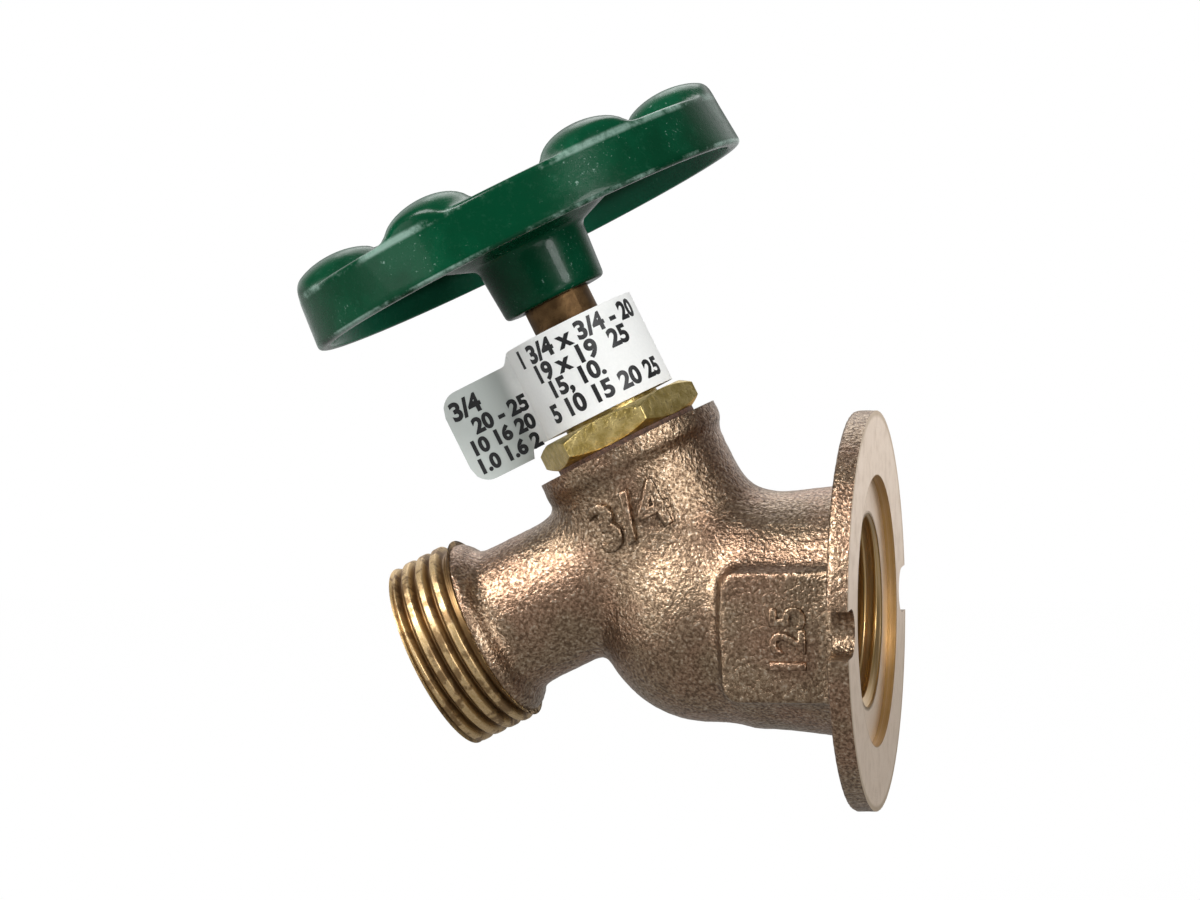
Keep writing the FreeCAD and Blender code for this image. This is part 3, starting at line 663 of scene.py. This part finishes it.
def on_stem(mesh, radius, angle, reach):
    """Wrap a flat mesh round the stem axis, its middle at an angle and a height."""
    for vertex in centred(mesh).vertices:
        flat = vertex.co
        turn = math.radians(angle) + flat.x / radius
        outward = ACROSS * math.cos(turn) + SIDE * math.sin(turn)
        vertex.co = (VALVE + STEM * (reach + flat.y) + outward * (radius + flat.z)) * MM
    return mesh


neck_figures = sliced(lettered("neck_figures", "3/4", thick=FIGURE_DEEP, **NECK_FIGURE), NECK_FIGURE_STEP)
on_stem(neck_figures, NECK_FIGURE_RADIUS, NECK_FIGURE_TURN, NECK_FIGURE_REACH)
pad_figures = centred(lettered("pad_figures", "125", thick=FIGURE_DEEP, **PAD_FIGURE))
for vertex in pad_figures.vertices:
    flat = vertex.co
    vertex.co = (PAD_FIGURE_PLACE + Vector((-flat.y, -flat.z, flat.x))) * MM
for mesh in (neck_figures, pad_figures):
    figures = placed(mesh.name, mesh, cast_bronze)
    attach(figures, "housing")

# The hose thread
# The spout's end is turned and cut with a coarse right-handed hose thread, so
# it shows bright yellow metal beside the brown casting.

THREAD_BRASS = (0.420, 0.285, 0.125, 1.0)
THREAD_LIGHT = (0.820, 0.640, 0.420, 1.0)
THREAD_WARM = (0.560, 0.390, 0.200, 1.0)
THREAD_STAIN_AND_SHADE = (0.150, 0.085, 0.035, 1.0)
THREAD_FINENESS = 0.11
THREAD_FACING = 1.1
MERGING = 0.001

thread_brass, tree = finish_of("thread_brass")
point = object_mm(tree)
x, y, z = parts_of(point)
across, along = stem_place(x, z)
from_spout = longer(along, y)
feed = node(tree, "ShaderNodeCombineXYZ", (), {0: from_spout * 5.0, 1: across * 5.0})
tool_marks = noise(feed, 1.0, 2.0)
cloud = noise(point, 0.30, 4.0, 0.65)
dust = noise(point, 4.2, 4.0, 0.7)
root = 1.0 - limit(from_spout, 12.3, 13.1)
colour = blend(limit(cloud, 0.35, 0.70), THREAD_BRASS, THREAD_WARM)
# Painted shade: the thread's roots are darkened where the valleys between the turns would be shaded.
colour = blend(root * 0.85, colour, THREAD_STAIN_AND_SHADE)
crests = limit(from_spout, 13.15, 13.40) * limit(dust, 0.40, 0.60)
colour = blend(crests * 0.30, colour, THREAD_LIGHT)
colour = blend(limit(cloud, 0.48, 0.58) * 0.85, colour, THREAD_STAIN_AND_SHADE)
colour = blend(limit(dust, 0.63, 0.72) * 0.5, colour, THREAD_STAIN_AND_SHADE)
roughness = 0.26 + 0.30 * cloud + 0.10 * tool_marks
shade(tree, colour, roughness, 0.94, tool_marks * 0.5 + dust * 0.4, 0.035)

HOSE_THREAD = {
    "Bore Radius": 7.5, "Root Radius": 12.15, "Crest Radius": 13.45, "Start": 28.6, "End": 37.8,
    "Pitch": 2.209, "First Crest": 29.42, "Lead": 0.8, "Facets": 120,
}


def plain_tube(tree, middle, wall, run, facets, fineness):
    """A tube along +Z whose wall is finely divided, for a thread to be cut in."""
    wall_section = node(tree, "GeometryNodeCurvePrimitiveQuadrilateral", (),
                        {"Width": wall, "Height": run})
    fine = node(tree, "GeometryNodeResampleCurve", {"mode": "LENGTH"},
                {"Curve": wall_section, "Length": fineness})
    rail = node(tree, "GeometryNodeCurvePrimitiveCircle", (),
                {"Resolution": facets, "Radius": middle})
    return node(tree, "GeometryNodeCurveToMesh", (), {"Curve": rail, "Profile Curve": fine})


def cut_to(tube, x, y, reach, radius, depth, chosen):
    """Bring the chosen side of a tube to a new radius."""
    scale = (depth / radius) * chosen + (1.0 - chosen)
    spot = node(tube.tree, "ShaderNodeCombineXYZ", (), {0: x * scale, 1: y * scale, 2: reach})
    cut = node(tube.tree, "GeometryNodeSetPosition", (), {"Geometry": tube, "Position": spot})
    return node(tube.tree, "GeometryNodeMergeByDistance", (), {"Geometry": cut, "Distance": MERGING})


def screw_thread(name, sizes, finish):
    """A tube with a right-handed thread outside, from its sizes in millimetres, along +Z."""
    tree, given = new_tree(name, sizes)
    tube = plain_tube(tree, (given["Crest Radius"] + given["Bore Radius"]) * 0.5,
                      given["Crest Radius"] - given["Bore Radius"], given["End"] - given["Start"],
                      given["Facets"], THREAD_FINENESS)
    x, y, z = parts_of(node(tree, "GeometryNodeInputPosition"))
    radius = longer(x, y)
    turn = y.math("ARCTAN2", x) * (1 / math.tau)
    reach = z + (given["Start"] + given["End"]) * 0.5
    phase = ((reach - given["First Crest"]) / given["Pitch"] - turn).math("FRACT")
    crest = limit((phase * 2.0 - 1.0).math("ABSOLUTE"), 0.04, 0.66)
    starting = limit(reach, given["Start"] + 0.5, given["Start"] + 1.3)
    ending = limit(given["End"] - reach, 0.1, 0.8)
    height = (given["Crest Radius"] - given["Root Radius"]) * crest * starting * (0.35 + 0.65 * ending)
    lead = given["Root Radius"] + height
    faced = given["Crest Radius"] - given["Lead"] + (given["End"] - reach) * THREAD_FACING
    outside = radius > (given["Crest Radius"] - 0.01)
    threaded = cut_to(tube, x, y, reach, radius, lead.math("MINIMUM", faced), outside)
    return grown(name, tree, threaded, finish, sizes)


def laid_along(piece, start, axis, side=SIDE):
    """Move a piece that was made along +Z, in millimetres, onto an axis of the tap."""
    turn = Matrix((side, axis.cross(side), axis)).transposed().to_4x4()
    piece.data.transform(Matrix.Scale(MM, 4) @ Matrix.Translation(start) @ turn)
    return piece


hose_thread = laid_along(screw_thread("hose_thread", HOSE_THREAD, thread_brass), VALVE, SPOUT)
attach(hose_thread, "housing")

# The pipe thread
# The inlet is bored and tapped for the wall's pipe. Its lining of thread turns
# is cut in the casting's own metal and shows gold in the hole.

PIPE_THREAD = {
    "Crest Radius": 12.0, "Root Radius": 13.25, "Start": -14.0, "End": -1.3, "Pitch": 1.814,
    "Facets": 120,
}
TAPPED_WALL = 0.8
TAPPED_FINENESS = 0.13


def tapped_thread(name, sizes, finish):
    """The inside of a tapped hole, from its sizes in millimetres, along +Z."""
    tree, given = new_tree(name, sizes)
    tube = plain_tube(tree, given["Root Radius"], TAPPED_WALL, given["End"] - given["Start"],
                      given["Facets"], TAPPED_FINENESS)
    x, y, z = parts_of(node(tree, "GeometryNodeInputPosition"))
    radius = longer(x, y)
    turn = y.math("ARCTAN2", x) * (1 / math.tau)
    reach = z + (given["Start"] + given["End"]) * 0.5
    phase = (reach / given["Pitch"] - turn).math("FRACT")
    crest = limit((phase * 2.0 - 1.0).math("ABSOLUTE"), 0.15, 0.85)
    mouth = limit(given["End"] - reach, 0.0, 1.2)
    depth = given["Root Radius"] - (given["Root Radius"] - given["Crest Radius"]) * crest * mouth
    inside = radius < given["Root Radius"]
    return grown(name, tree, cut_to(tube, x, y, reach, radius, depth, inside), finish, sizes)


pipe_thread = laid_along(tapped_thread("pipe_thread", PIPE_THREAD, faced_bronze), ORIGIN, OUTWARD)
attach(pipe_thread, "housing")

# The bonnet and packing nut
# Two brass turnings with hexagons. The bonnet screws into the neck; the
# packing nut screws onto the bonnet and presses the packing round the stem.

HEX_BRASS = (0.460, 0.340, 0.105, 1.0)
HEX_LIGHT = (0.680, 0.540, 0.230, 1.0)
HEX_DARK = (0.200, 0.135, 0.045, 1.0)
TURNED_SHARP = math.radians(34)
TURNED_EDGE = math.radians(32)
NUT_EDGE = 0.22


def softened(name, source, width, finish):
    """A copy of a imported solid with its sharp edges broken, as a file or a tumbler leaves them."""
    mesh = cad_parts[source].data.copy()
    work = bmesh.new()
    work.from_mesh(mesh)
    bmesh.ops.remove_doubles(work, verts=work.verts, dist=1e-6)
    bmesh.ops.dissolve_limit(work, angle_limit=math.radians(0.6), verts=work.verts, edges=work.edges)
    work.to_mesh(mesh)
    work.free()
    copy = placed(name + "_blank", mesh, finish)
    edge = copy.modifiers.new("edge", "BEVEL")
    edge.width = width * MM
    edge.segments = 3
    edge.limit_method = "ANGLE"
    edge.angle_limit = TURNED_EDGE
    mesh = settled(copy)
    bpy.data.objects.remove(copy)
    piece = placed(name, mesh, finish)
    piece.data.set_sharp_from_angle(angle=TURNED_SHARP)
    return piece


def metal(name, base, light, dark, gloss, shine=0.93, spots=0.66, dents=0.5):
    """A turned or milled finish: cloudy metal with fine tool marks round the stem and a few stains."""
    material, tree = finish_of(name)
    point = object_mm(tree)
    x, y, z = parts_of(point)
    across, along = stem_place(x, z)
    feed = node(tree, "ShaderNodeCombineXYZ", (), {0: along * 5.5, 1: longer(across, y) * 1.5})
    marks = noise(feed, 1.0, 2.0)
    cloud = noise(point, 0.75, 4.0, 0.6)
    fleck = noise(point, 1.5, 4.0, 0.65)
    colour = blend(limit(cloud, 0.36, 0.66), base, light)
    colour = blend(limit(marks, 0.55, 0.80) * 0.35, colour, dark)
    colour = blend(limit(fleck, spots, spots + 0.14) * 0.6, colour, dark)
    relief = marks * 0.4 + fleck * 0.6 + cloud * dents
    shade(tree, colour, gloss + 0.20 * cloud + 0.10 * marks, shine, relief, 0.05)
    return material


hex_brass = metal("hex_brass", HEX_BRASS, HEX_LIGHT, HEX_DARK, 0.22, 0.95, 0.56, 4.5)
for name, source in (("bonnet_turning", "bonnet"), ("packing_nut_turning", "packing_nut")):
    piece = softened(name, source, NUT_EDGE, hex_brass)
    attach(piece, "housing")
    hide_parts(source)

# The gasket, packing and seat washer
# A brown fibre ring lies between the bonnet and the neck. A rubber washer shuts
# the seat, and graphite rope is packed round the stem under a thin brass ring.

FIBRE_BROWN = (0.125, 0.062, 0.040, 1.0)
FIBRE_DUST = (0.22, 0.13, 0.09, 1.0)
FIBRE_DARK = (0.050, 0.024, 0.015, 1.0)
RUBBER_BLACK = (0.018, 0.018, 0.018, 1.0)
RUBBER_DUST = (0.06, 0.06, 0.06, 1.0)
RUBBER_DARK = (0.008, 0.008, 0.008, 1.0)
GRAPHITE_GREY = (0.045, 0.045, 0.050, 1.0)
GRAPHITE_SHINE = (0.12, 0.12, 0.13, 1.0)
GRAPHITE_DARK = (0.015, 0.015, 0.016, 1.0)


def dress(source, finish):
    """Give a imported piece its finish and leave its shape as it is."""
    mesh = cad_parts[source].data
    mesh.materials.clear()
    mesh.materials.append(finish)


def soft_finish(name, base, light, dark, scale, roughness, depth):
    """Fibre, rubber or graphite: a dull ground with pale dust and darker grain."""
    material, tree = finish_of(name)
    point = object_mm(tree)
    threads = noise(point, scale, 4.0, 0.65)
    dust = noise(point, scale * 3.0, 4.0, 0.7)
    colour = blend(limit(threads, 0.38, 0.64), dark, base)
    colour = blend(limit(dust, 0.60, 0.72) * 0.5, colour, light)
    shade(tree, colour, roughness + 0.2 * dust, 0.0, threads + dust * 0.5, depth)
    return material


gasket_fibre = soft_finish("gasket_fibre", FIBRE_BROWN, FIBRE_DUST, FIBRE_DARK, 1.8, 0.55, 0.10)
washer_rubber = soft_finish("washer_rubber", RUBBER_BLACK, RUBBER_DUST, RUBBER_DARK, 0.8, 0.50, 0.05)
graphite = soft_finish("packing_graphite", GRAPHITE_GREY, GRAPHITE_SHINE, GRAPHITE_DARK, 2.2, 0.35, 0.12)
dress("bonnet_gasket", gasket_fibre)
dress("seat_washer", washer_rubber)
dress("stem_packing", graphite)
dress("packing_washer", hex_brass)

# The stem and washer screw
# A brass spindle, turned, with its lower thread inside the bonnet, a square top
# for the handwheel, and a small brass screw that holds the seat washer.

STEM_BRASS = (0.100, 0.056, 0.024, 1.0)
STEM_LIGHT = (0.190, 0.110, 0.048, 1.0)
STEM_DARK = (0.040, 0.022, 0.010, 1.0)

stem_brass = metal("stem_brass", STEM_BRASS, STEM_LIGHT, STEM_DARK, 0.42, 0.93, 0.58)
for name, source, edge in (("stem_turning", "stem", 0.18), ("washer_screw_turning", "washer_screw", 0.12)):
    piece = softened(name, source, edge, stem_brass)
    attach(piece, "spindle")
    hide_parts(source)

# The paper label
# One strip of white paper runs round the packing nut, and its two ends are
# stuck face to face as a flag that points along the spout.

PAPER_THICK = 0.14
WRAP_RADIUS = 9.39
WRAP_LOW = 19.9
WRAP_HIGH = 33.2
FLAG_REACH = 21.6
FLAG_DROP = 1.4
FLAG_CORNER = 2.8
FOLD_LEAD = 0.4
FOLD_FALL = 1.4
HEX_FALL = 0.5
LABEL_SHARP = math.radians(40)
CREASE = 10.0
HEX_CLEAR = 12.25
ROW_STEP = 0.40
FLAG_HALF_GAP = 0.085
EASE_LENGTH = 0.25
EASE_GAP = 0.16
ARC_STEPS = 64
STRIP_ROWS = 24
PAPER_WHITE = (0.905, 0.915, 0.900, 1.0)
PAPER_BRIGHT = (0.945, 0.950, 0.935, 1.0)
PAPER_SOILED = (0.58, 0.59, 0.57, 1.0)
FLAG_PAINTED_SHADE = (0.330, 0.370, 0.348, 1.0)
PAPER_WORN = (0.42, 0.43, 0.41, 1.0)

paper, tree = finish_of("label_paper")
point = object_mm(tree)
x, y, z = parts_of(point)
across, along = stem_place(x, z)
fibres = noise(point, 2.4, 5.0, 0.7)
soiling = noise(point, 0.16, 3.0, 0.6)
worn = limit((across + FLAG_REACH - 0.9).math("ABSOLUTE"), 0.0, 0.8)
colour = blend(limit(fibres, 0.35, 0.70), PAPER_WHITE, PAPER_BRIGHT)
colour = blend(limit(soiling, 0.50, 0.80) * 0.35, colour, PAPER_SOILED)
# Painted shade: the flag beyond the crease is made greyer than the wrap, as if turned away from the lamps.
colour = blend(limit(0.0 - across, 10.4, 12.6) * 0.80, colour, FLAG_PAINTED_SHADE)
colour = blend((1.0 - worn) * limit(fibres, 0.40, 0.62) * 0.4, colour, PAPER_WORN)
shade(tree, colour, 0.52 + 0.25 * fibres, 0.0, fibres + soiling * 0.5, 0.035)


def strip_middle():
    """The strip's path round the stem axis as (across, side) points, from one end to the other."""
    ends = FLAG_REACH - CREASE
    pieces = round(ends / ROW_STEP)
    half = [(-FLAG_REACH + ends * step / pieces, FLAG_HALF_GAP) for step in range(pieces)]
    half.append((-CREASE + EASE_LENGTH, EASE_GAP))
    touch = math.pi - math.acos(WRAP_RADIUS / CREASE)
    for step in range(ARC_STEPS + 1):
        turn = touch * (1 - step / ARC_STEPS)
        half.append((WRAP_RADIUS * math.cos(turn), WRAP_RADIUS * math.sin(turn)))
    return half[:-1] + [(a, -b) for a, b in reversed(half)]


def eased(value):
    """Zero to one with soft ends, for a value that may lie outside them."""
    part = max(0.0, min(1.0, value))
    return part * part * (3 - 2 * part)


def strip_edges(across):
    """The lower and upper edge of the strip at a point of its path."""
    low = WRAP_LOW - FLAG_DROP * eased((-across - HEX_CLEAR) / HEX_FALL)
    high = WRAP_HIGH - FLAG_DROP * eased((-across - (CREASE - FOLD_LEAD)) / FOLD_FALL)
    into = across + FLAG_REACH
    if into < FLAG_CORNER:
        lost = FLAG_CORNER - math.sqrt(FLAG_CORNER ** 2 - (FLAG_CORNER - into) ** 2)
        low += lost
        high -= lost
    return low, high


mesh = bmesh.new()
columns = []
for across, side in strip_middle():
    low, high = strip_edges(across)
    foot = VALVE + ACROSS * across + SIDE * side
    columns.append([mesh.verts.new((foot + STEM * (low + (high - low) * row / STRIP_ROWS)) * MM)
                    for row in range(STRIP_ROWS + 1)])
for first, second in zip(columns, columns[1:]):
    for row in range(STRIP_ROWS):
        mesh.faces.new((first[row], second[row], second[row + 1], first[row + 1]))
sheet_of_paper = placed("label_sheet", made_of(mesh, "label_sheet"), paper)
wall = sheet_of_paper.modifiers.new("paper", "SOLIDIFY")
wall.thickness = PAPER_THICK * MM
wall.offset = 0.0
solid = settled(sheet_of_paper)
bpy.data.objects.remove(sheet_of_paper)
label = placed("label_strip", solid, paper)
label.data.set_sharp_from_angle(angle=LABEL_SHARP)
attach(label, "housing")
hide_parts("paper_label")

# The label's print
# Rows of bold black figures, all plain sizes and numbers, run round the wrap
# and along both faces of the flag.

INK_THICK = 0.03
INK_BOLD = 0.145
PRINT_RADIUS = WRAP_RADIUS + PAPER_THICK / 2
PRINT_TURN = -77.1
INK_BLACK = (0.004, 0.004, 0.005, 1.0)
INK_GREY = (0.022, 0.022, 0.024, 1.0)

ink, tree = finish_of("label_ink")
point = object_mm(tree)
patch = noise(point, 5.0, 4.0, 0.7)
colour = blend(limit(patch, 0.52, 0.72), INK_BLACK, INK_GREY)
shade(tree, colour, 0.42 + 0.2 * patch, 0.0, patch, 0.01)

WRAP_ROWS = (
    ("1 3/4 x 3/4 - 20", 2.4, 31.2, 0.6), ("19 x 19  25", 2.4, 28.3, -0.2),
    ("15, 10.", 2.3, 25.4, -2.4), ("5 10 15 20 25", 2.4, 22.5, 0.9),
)
FLAG_ROWS = (
    ("3/4", 2.5, 29.2, -20.6), ("20 - 25", 2.1, 26.2, -18.6),
    ("10 16 20", 2.0, 23.5, -20.0), ("1.0 1.6 2", 2.0, 20.8, -20.2),
)
for number, (words, tall, reach, shift) in enumerate(WRAP_ROWS):
    name = "wrap_print_%d" % number
    flat = sliced(lettered(name, words, tall, INK_BOLD, INK_THICK), ROW_STEP)
    turn = PRINT_TURN + math.degrees(shift / PRINT_RADIUS)
    words_mesh = on_stem(flat, PRINT_RADIUS + INK_THICK / 2, turn, reach)
    row = placed(name, words_mesh, ink, smooth=False)
    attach(row, "housing")
FLAG_FACE = FLAG_HALF_GAP + PAPER_THICK / 2 + INK_THICK / 2
for number, (words, tall, reach, left) in enumerate(FLAG_ROWS):
    for face, way in (("near", -1), ("far", 1)):
        name = "flag_print_%s_%d" % (face, number)
        flat = centred(lettered(name, words, tall, INK_BOLD, INK_THICK))
        half_width = max(vertex.co.x for vertex in flat.vertices)
        for vertex in flat.vertices:
            spot = vertex.co
            vertex.co = (VALVE + ACROSS * (left + half_width - way * spot.x) + STEM * (reach + spot.y)
                         + SIDE * way * (FLAG_FACE + spot.z)) * MM
        row = placed(name, flat, ink, smooth=False)
        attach(row, "housing")

# The handwheel
# A zinc casting under dark green enamel: a deep skirt round a dished plate,
# seven finger lobes round the top, and a hub that fits the stem's square.

LOBE_COUNT = 7
LOBE_TURN = 2.0
LOBE_CIRCLE = 25.7
LOBE_RISE = 3.55
LOBE_HALF_ANGLE = 14.0
LOBE_HALF_WIDTH = 7.0
LOBE_FLARE = 0.10
LOBE_TRIM = 0.07
LOBE_FOOT = 50.0
LOBE_BLEND = 2.0
DISH_RADIUS = 15
HUB_BOTTOM = 36.9
SCREW_FLOOR = 45.6
SKIRT_BOTTOM = 44.75
PLATE_UNDER = 49.75
WHEEL_TOP = 52.3
WHEEL_STEPS = 252
WHEEL_FACET = 0.6
WHEEL_SHARP = math.radians(60)
GREEN = (0.0008, 0.0420, 0.0175, 1.0)
DEEP_GREEN = (0.0006, 0.0300, 0.0120, 1.0)
PALE_GREEN = (0.020, 0.100, 0.060, 1.0)
INNER_WALL_PAINTED_LIGHT = (0.008, 0.130, 0.068, 1.0)
CHIPPED_AND_EDGE_HIGHLIGHT = (0.240, 0.350, 0.300, 1.0)

enamel, tree = finish_of("green_enamel")
point = object_mm(tree)
x, y, z = parts_of(point)
across, along = stem_place(x, z)
from_stem = longer(across, y)
flow = noise(point, 0.14, 3.0, 0.5)
speck = noise(point, 1.9, 5.0, 0.7)
dust = noise(point, 0.9, 5.0, 0.75)
stroke = node(tree, "ShaderNodeCombineXYZ", (), {0: x * 0.35, 1: y * 1.6, 2: z * 1.6})
scuff = noise(stroke, 1.0, 4.0, 0.7)
# Pale lines along the skirt's lower and upper edges: partly real chipped paint, partly a painted highlight
# where the rounded edges would catch the light.
lower_edge = 1.4 * (1.0 - limit((along - (SKIRT_BOTTOM + 0.2)).math("ABSOLUTE"), 0.2, 0.5))
upper_edge = 1.0 - limit((along - (WHEEL_TOP - 0.4)).math("ABSOLUTE"), 0.2, 0.7)
upper_edge = upper_edge * limit(from_stem, 31.0, 31.4)
edge = (lower_edge * limit(from_stem, 31.0, 31.6)).math("MAXIMUM", upper_edge)
colour = blend(limit(flow, 0.40, 0.66), DEEP_GREEN, GREEN)
colour = blend(limit(dust, 0.58, 0.76) * 0.30, colour, PALE_GREEN)
colour = blend(limit(speck, 0.60, 0.67) * limit(scuff + flow, 1.02, 1.16) * 0.5, colour, CHIPPED_AND_EDGE_HIGHLIGHT)
# Painted light: the inside of the skirt is made a brighter green, as if light reached it from below.
inner_wall = limit(from_stem, 29.2, 29.6) * (1.0 - limit(from_stem, 30.7, 31.0))
inner_wall = inner_wall * (1.0 - limit(along, 46.6, 48.6))
colour = blend(inner_wall * (0.55 + 0.40 * flow), colour, INNER_WALL_PAINTED_LIGHT)
colour = blend(edge * limit(flow + dust * 0.6, 0.66, 0.94) * 0.55, colour, CHIPPED_AND_EDGE_HIGHLIGHT)
roughness = 0.20 + 0.16 * limit(dust, 0.45, 0.75) + 0.06 * scuff
shade(tree, colour, roughness, 0.0, dust * 0.3 + speck * 0.2 + flow * 0.8, 0.07,
      coat_weight=0.06, coat_roughness=0.04, specular_ior_level=0.08)

wheel_section = rounded([
    (5.0, HUB_BOTTOM, 0.3), (7.45, HUB_BOTTOM, 0.8), (8.05, 45.0, 1.2),
    (20.5, PLATE_UNDER, 1.5), (29.4, PLATE_UNDER, 0.8),
    (30.5, SKIRT_BOTTOM, 0.45), (32.42, SKIRT_BOTTOM, 0.75),
    (31.82, WHEEL_TOP, 0.8), (20.5, WHEEL_TOP, 2.5),
    (8.7, 47.35, 1.5), (2.4, 47.3, 0.2), (2.4, SCREW_FLOOR, 0), (5.0, SCREW_FLOOR, 0),
])


def divided(section, longest):
    """A closed section with points added wherever two are further apart than a length."""
    close = []
    for here, after in zip(section, section[1:] + section[:1]):
        gap = math.dist(here, after)
        pieces = max(1, math.ceil(gap / longest))
        for step in range(pieces):
            part = step / pieces
            close.append(tuple(a + (b - a) * part for a, b in zip(here, after)))
    return close


def lobe_rise(radius, angle):
    """How far the finger lobes lift the wheel's top at a point."""
    spacing = 360.0 / LOBE_COUNT
    off = (angle - LOBE_TURN + spacing / 2) % spacing - spacing / 2
    inside = 1 - (off / LOBE_HALF_ANGLE) ** 2 - ((radius - LOBE_CIRCLE) / LOBE_HALF_WIDTH) ** 2
    smooth = (inside + math.sqrt(inside ** 2 + LOBE_FLARE ** 2)) / 2
    return LOBE_RISE * max(0.0, math.sqrt(smooth) - LOBE_TRIM)


wheel_mesh = turned("handwheel_casting", divided(wheel_section, WHEEL_FACET), VALVE, STEM, ACROSS,
                    WHEEL_STEPS)
for vertex in wheel_mesh.vertices:
    place = vertex.co / MM - VALVE
    over = eased((place.dot(STEM) - LOBE_FOOT) / LOBE_BLEND)
    radius = math.hypot(place.dot(ACROSS), place.y)
    if over > 0 and radius > DISH_RADIUS:
        angle = math.degrees(math.atan2(place.y, place.dot(ACROSS)))
        vertex.co = (place + VALVE + STEM * lobe_rise(radius, angle) * over) * MM
wheel = placed("handwheel_casting", wheel_mesh, enamel)
wheel.data.set_sharp_from_angle(angle=WHEEL_SHARP)
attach(wheel, "spindle")
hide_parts("handwheel")

# The handle screw
# A zinc-plated steel screw with a slotted head is driven into the end of the stem.
# It holds the wheel down on the stem's square.

HEAD_EDGE = 0.16
ZINC = (0.46, 0.46, 0.44, 1.0)
ZINC_LIGHT = (0.62, 0.62, 0.60, 1.0)
ZINC_DARK = (0.24, 0.23, 0.21, 1.0)

zinc = metal("screw_zinc", ZINC, ZINC_LIGHT, ZINC_DARK, 0.26, 0.95, 0.64)
head = softened("handle_screw_turning", "handle_screw", HEAD_EDGE, zinc)
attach(head, "spindle")
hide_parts("handle_screw")
